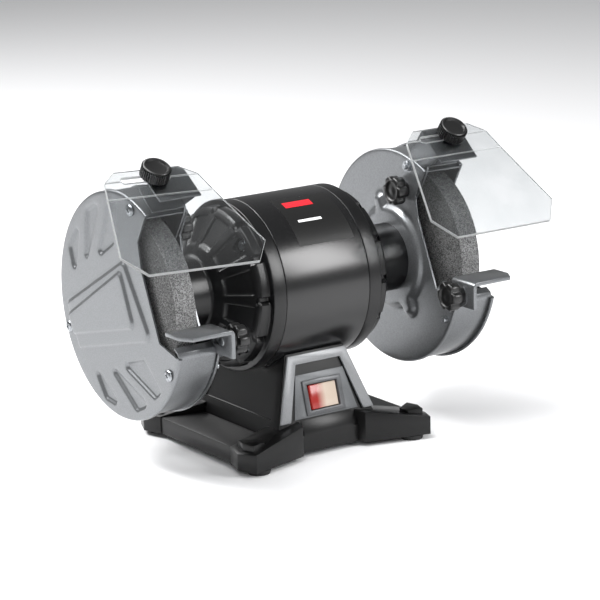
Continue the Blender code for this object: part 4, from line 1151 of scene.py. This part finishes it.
# Each step is the distance from the clamping face, the radius and the notches' share of it.
STAR_STEPS = [(0, 7, 0), (5.8, 7, 0), (6.6, 7.6, 0.02), (6.9, 10.4, 0.14), (7.4, 11.6, 0.2),
              (8.2, 12, 0.22), (14.6, 12, 0.22), (15.5, 11.5, 0.2), (16, 10.4, 0.16),
              (16, 8.2, 0), (15, 7.4, 0), (14.6, 6.6, 0), (14.8, 3.2, 0), (15.2, 1.2, 0)]
for kind in ("rest_knob_", "arrestor_knob_"):
    for name, sign in SIDES:
        at = middle_yz(kind + name)
        inner_end = min(abs(end.x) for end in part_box(kind + name))
        face = sign * (inner_end + STAR_DEEP)
        rings = [lobed_ring(face - sign * x * MM, r * MM, notch, at) for x, r, notch in STAR_STEPS]
        knob = loft(rings)
        if kind == "arrestor_knob_":
            tip, root = sign * (PLATE_IN + SHEET + 3 * MM), face - sign * 2 * MM
            stud = lathe([(root, ON_AXIS), (root, STUD_R), (tip, STUD_R), (tip, ON_AXIS)],
                         at=at, count=24)
            knob = joined(knob, stud)
        piece("star_" + kind + name, knob, knob_plastic, kind + name, [kind + name],
              sharp=40)
print("four star knobs")

# %% [markdown]
# The shield knobs are round and knurled, with a dished top. The body is turned, and
# Geometry Nodes set the ribs round it: a circle of points, a rib at each, turned to face
# outwards. The count and sizes are inputs, so the same tree could knurl any knob.


# %% Knurling with Geometry Nodes
def new_tree(name, inputs):
    """An empty Geometry Nodes tree with named inputs, its input node and its output node."""
    tree = bpy.data.node_groups.new(name, "GeometryNodeTree")
    for label, kind in inputs:
        tree.interface.new_socket(label, in_out="INPUT", socket_type="NodeSocket" + kind)
    tree.interface.new_socket("Geometry", in_out="OUTPUT", socket_type="NodeSocketGeometry")
    return tree, add(tree, "NodeGroupInput"), add(tree, "NodeGroupOutput")


def grown(mesh, tree, values):
    """The mesh that a tree makes when its inputs have these values, as a plain mesh."""
    made = bpy.data.objects.new("grown", mesh)
    bpy.context.scene.collection.objects.link(made)
    modifier = made.modifiers.new("grow", "NODES")
    modifier.node_group = tree
    sockets = {s.name: s.identifier for s in tree.interface.items_tree if s.in_out == "INPUT"}
    for label, value in values.items():
        modifier[sockets[label]] = value
    result = evaluated(made)
    bpy.data.objects.remove(made)
    return result


knurl, given, result = new_tree("knurled_ring", [("Geometry", "Geometry"), ("Count", "Int"),
                                                 ("Radius", "Float"), ("Rib", "Vector"),
                                                 ("Finish", "Material")])
circle = add(knurl, "GeometryNodeMeshCircle", {"Vertices": given.outputs["Count"],
                                               "Radius": given.outputs["Radius"]})
rib = add(knurl, "GeometryNodeMeshCube", {"Size": given.outputs["Rib"]})
facing = add(knurl, "FunctionNodeAlignRotationToVector", {
    "Vector": add(knurl, "GeometryNodeInputPosition").outputs[0]}, axis="X")
ribs = add(knurl, "GeometryNodeInstanceOnPoints", {"Points": circle.outputs["Mesh"],
                                                   "Instance": rib.outputs["Mesh"],
                                                   "Rotation": facing.outputs["Rotation"]})
solid = add(knurl, "GeometryNodeRealizeInstances", {"Geometry": ribs.outputs["Instances"]})
painted = add(knurl, "GeometryNodeSetMaterial", {"Geometry": solid.outputs["Geometry"],
                                                 "Material": given.outputs["Finish"]})
knurl.links.new(painted.outputs["Geometry"], result.inputs["Geometry"])
print("knurling tree has", len(knurl.nodes), "nodes")

# %% Round knobs
KNOB_STEPS = [(0.3, 9.4), (0.6, 9.8), (1.2, 10.4), (9.4, 10.4), (10.2, 10.6), (10.6, 10.2),
              (10.8, 9.6), (10.6, 8.9), (9.2, 8.1), (8.9, 7.2), (8.9, 0.4)]
RIB_COUNT = 36
RIB = (2.4 * MM, 1.0 * MM, 8.2 * MM)       # outwards, along the rim, and up
RIB_MIDDLE = 5.3 * MM
for name, sign in SIDES:
    joint = next(j for j in frame["joints"] if j["name"] == "shield_knob_turn_" + name)
    upright = Vector((0, 0, 1)).rotation_difference(Vector(joint["axis"]))
    at = Matrix.Translation(joint["pos_m"]) @ upright.to_matrix().to_4x4()
    body = joined(loft([circle_ring(r, z, 72) for z, r in KNOB_STEPS]),
                  loft([circle_ring(STUD_R / MM, z, 24) for z in (-8.4, 1.0)]))
    ribs = grown(bpy.data.meshes.new("start"), knurl, {
        "Count": RIB_COUNT, "Radius": 10.4 * MM, "Rib": RIB,
        "Finish": knob_plastic})
    ribs.transform(Matrix.Translation((0, 0, RIB_MIDDLE)))
    body.from_mesh(ribs)
    piece("round_knob_" + name, moved(body, at), knob_plastic, "shield_knob_" + name,
          ["shield_knob_" + name], sharp=30)
print("two knurled knobs with", RIB_COUNT, "ribs each")

# %% [markdown]
# ## Screws
# Pan-head screws hold each cover, with nuts on the guard's inner plate. Geometry Nodes
# put one shape on every spot of a list: the spots are the vertices of a small mesh. Each
# head is turned about its own axis by a random angle with a fixed seed, as screws that
# were driven home by hand are.

# %% Fastener tree
fasten, given, result = new_tree("fasteners", [("Spots", "Geometry"), ("Shape", "Object"),
                                               ("Facing", "Vector"), ("Most turn", "Float"),
                                               ("Seed", "Int"), ("Finish", "Material")])
shape = add(fasten, "GeometryNodeObjectInfo", {"Object": given.outputs["Shape"]})
facing = add(fasten, "FunctionNodeAlignRotationToVector", {"Vector": given.outputs["Facing"]},
             axis="Z")
chance = add(fasten, "FunctionNodeRandomValue", {"Seed": given.outputs["Seed"],
                                                 3: given.outputs["Most turn"]})
twist = add(fasten, "FunctionNodeAxisAngleToRotation", {"Axis": (0, 0, 1),
                                                        "Angle": chance.outputs[1]})
turned = add(fasten, "FunctionNodeRotateRotation", {"Rotation": facing.outputs["Rotation"],
                                                    "Rotate By": twist.outputs["Rotation"]},
             rotation_space="LOCAL")
copies = add(fasten, "GeometryNodeInstanceOnPoints", {"Points": given.outputs["Spots"],
                                                      "Instance": shape.outputs["Geometry"],
                                                      "Rotation": turned.outputs["Rotation"]})
solid = add(fasten, "GeometryNodeRealizeInstances", {"Geometry": copies.outputs["Instances"]})
painted = add(fasten, "GeometryNodeSetMaterial", {"Geometry": solid.outputs["Geometry"],
                                                  "Material": given.outputs["Finish"]})
fasten.links.new(painted.outputs["Geometry"], result.inputs["Geometry"])


def put_on(spots, shape, facing, seed, finish):
    """Copies of a shape at the spots, facing one way, as one mesh."""
    points = bpy.data.meshes.new("spots")
    points.from_pydata(spots, [], [])
    return grown(points, fasten, {"Shape": shape, "Facing": facing, "Most turn": math.tau,
                                  "Seed": seed, "Finish": finish})


print("fastener tree has", len(fasten.nodes), "nodes")


# %% Shapes of the fasteners
def hex_ring(flats, z, share=0.0, count=36):
    """A hexagon's outline whose corners are cut round by the share given."""
    out = []
    for i in range(count):
        turn = 2 * math.pi * i / count
        to_flat = (turn + math.pi / 6) % (math.pi / 3) - math.pi / 6
        radius = flats / 2 / math.cos(to_flat)
        radius -= share * (radius - flats / 2)
        out.append((radius * MM * math.cos(turn), radius * MM * math.sin(turn), z * MM))
    return out


def block(size, at):
    """A box with its middle at the given point, both in mm."""
    (a, b, c), (x, y, z) = size, at
    edge = [(x - a / 2, y - b / 2), (x + a / 2, y - b / 2), (x + a / 2, y + b / 2),
            (x - a / 2, y + b / 2)]
    return prism(in_mm(edge), (z - c / 2) * MM, (z + c / 2) * MM)


def hidden(name, bm):
    """A helper object that the fastener tree copies. It is removed once it is used."""
    mesh = bpy.data.meshes.new(name)
    bm.to_mesh(mesh)
    bm.free()
    return bpy.data.objects.new(name, mesh)


HEAD_STEPS = [(2.4, -43), (2.4, 0.3), (4.5, 0.3), (4.7, 0.7), (4.5, 1.5), (3.7, 2.2), (2.4, 2.65),
              (0.8, 2.8)]
pan_head = carve(loft([circle_ring(r, z) for r, z in HEAD_STEPS]),
                 ("DIFFERENCE", block((4.4, 0.9, 2), (0, 0, 2.7))),
                 ("DIFFERENCE", block((0.9, 4.4, 2), (0, 0, 2.7))))
pan_head = hidden("pan_head_screw", pan_head)
nut_rings = [circle_ring(5.2, 0, 36), circle_ring(5.2, 0.7, 36), hex_ring(8, 0.7, 0.6),
             hex_ring(8, 1.0), hex_ring(8, 3.3), hex_ring(8, 3.6, 0.7)]
small_nut = hidden("nut_and_washer", joined(loft(nut_rings), loft([
    circle_ring(2.4, 0.5, 24), circle_ring(2.4, 5.0, 24), circle_ring(2.0, 5.6, 24)])))
bolt_rings = [circle_ring(4.6, 0, 36), circle_ring(4.6, 0.5, 36), hex_ring(7, 0.5, 0.5),
              hex_ring(7, 0.8), hex_ring(7, 2.6), hex_ring(7, 3.0, 0.7)]
tie_head = hidden("tie_bolt_head", loft(bolt_rings))
dome_steps = [(5.6, 0), (5.7, 0.4), (5.3, 1.2), (4.2, 2.0), (2.4, 2.5), (0.6, 2.6)]
dome = hidden("carriage_bolt_head", loft([circle_ring(r, z) for r, z in dome_steps]))
helpers = [pan_head, small_nut, tie_head, dome]

# %% Screws in their places
for name, sign in SIDES:
    nodes = [f"cover_bolt_{name}_{mark}" for mark in ("top", "front", "rear")]
    middles = [middle_yz(node) for node in nodes]
    ends = [min(abs(end.x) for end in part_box(node)) for node in nodes]
    heads = put_on([(sign * COVER_FACE, y, z) for y, z in middles], pan_head, (sign, 0, 0),
                   4 + sign, zinc_plate)
    nuts = put_on([(sign * (end + 3.6 * MM), y, z) for (y, z), end in zip(middles, ends)],
                  small_nut, (-sign, 0, 0), 8 + sign, zinc_plate)
    both = bmesh.new()
    both.from_mesh(heads)
    both.from_mesh(nuts)
    piece("cover_screws_" + name, both, zinc_plate, "frame", nodes)
    bolt_at = middle_yz("rest_bolt_" + name)
    head_x = PLATE_IN + SHEET + 0.2 * MM
    tail = min(abs(end.x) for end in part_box("rest_bolt_" + name))
    carriage = bmesh.new()
    carriage.from_mesh(put_on([(sign * head_x, *bolt_at)], dome, (sign, 0, 0), 2, zinc_plate))
    stud = lathe([(sign * tail, ON_AXIS), (sign * tail, 2 * MM), (sign * (tail + MM), STUD_R),
                  (sign * head_x, STUD_R), (sign * head_x, ON_AXIS)], at=bolt_at, count=24)
    piece("rest_stud_" + name, joined(carriage, stud), zinc_plate, "frame",
          ["rest_bolt_" + name])
ties = bmesh.new()
for name, sign in SIDES:
    ties.from_mesh(put_on([(sign * (BELL_FACE + 0.1 * MM), y, z) for y, z in tie_spots], tie_head,
                          (sign, 0, 0), 12, zinc_plate))
rods = [lathe([(-BELL_FACE, ON_AXIS), (-BELL_FACE, 2 * MM), (BELL_FACE, 2 * MM),
               (BELL_FACE, ON_AXIS)], at=spot, count=16) for spot in tie_spots]
piece("tie_bolts", joined(ties, *rods), zinc_plate, "frame",
      [f"tie_bolt_{i}" for i in range(1, 5)])
for helper in helpers:
    bpy.data.objects.remove(helper)
print("screws, nuts, studs and tie bolts placed")

# %% [markdown]
# A rating label sits on the upper front of the tube. It carries no words here: a dark
# film with a plain red stripe and a pale bar keeps the colours in their places.

# %% Label on the tube
FILM = 0.12 * MM


def on_tube(x0, x1, start, end, lift):
    """A thin patch that follows the tube, between two places along it and two angles."""
    last = 8
    columns = [(x0 + (x1 - x0) * i / last) * MM for i in range(last + 1)]
    count = max(2, round(abs(end - start) / 2))
    angles = [math.radians(start + (end - start) * i / count) for i in range(count + 1)]
    bm = bmesh.new()
    rows = []
    for height in (lift, lift + FILM):
        r = TUBE_R + height
        rows.append([[bm.verts.new((x, -r * math.cos(a), SHAFT_Z + r * math.sin(a)))
                      for x in columns] for a in angles])
    for row in rows:
        for one, two in zip(row, row[1:]):
            for i in range(last):
                bm.faces.new((one[i], one[i + 1], two[i + 1], two[i]))
    inner, outer = rows
    rim = [(0, i) for i in range(last)] + [(j, last) for j in range(count)]
    rim += [(count, i) for i in range(last, 0, -1)] + [(j, 0) for j in range(count, 0, -1)]
    for (j, i), (m, k) in zip(rim, rim[1:] + rim[:1]):
        bm.faces.new((inner[j][i], inner[m][k], outer[m][k], outer[j][i]))
    bmesh.ops.recalc_face_normals(bm, faces=bm.faces)
    return bm


piece("label_film", on_tube(-19, 33, 33, 77, 0.05 * MM), label_film, "frame")
piece("label_stripe", on_tube(-12, 14, 65, 71, 0.2 * MM), label_red, "frame")
piece("label_bar", on_tube(-10, 12, 50.5, 52.5, 0.2 * MM), label_white, "frame")
print("label without words on the tube")

# %% [markdown]
# ## Finishes of the other pieces
# What is left of the frame, such as the shaft, the windings and the bearings, already has
# its right shape. Each node takes the finish that its slot in the record names.

# %% Finishes for the frame's own nodes
finish_of = {"black_gloss": black_enamel, "black_satin": black_abs, "silver": silver_enamel,
             "steel": ground_steel, "zinc": zinc_plate, "copper": copper_wire,
             "lamination": lamination, "abrasive": grit, "clear": clear_sheet,
             "knob": knob_plastic, "rubber": foot_rubber, "red": red_lens, "trim": silver_abs}
for entry in frame["record"]["subparts"]:
    node = frame["nodes"][entry["node"]]
    for held in node.material_slots:
        held.material = finish_of[entry["material_slot"]]
print(len(frame["nodes"]), "nodes have their finish")
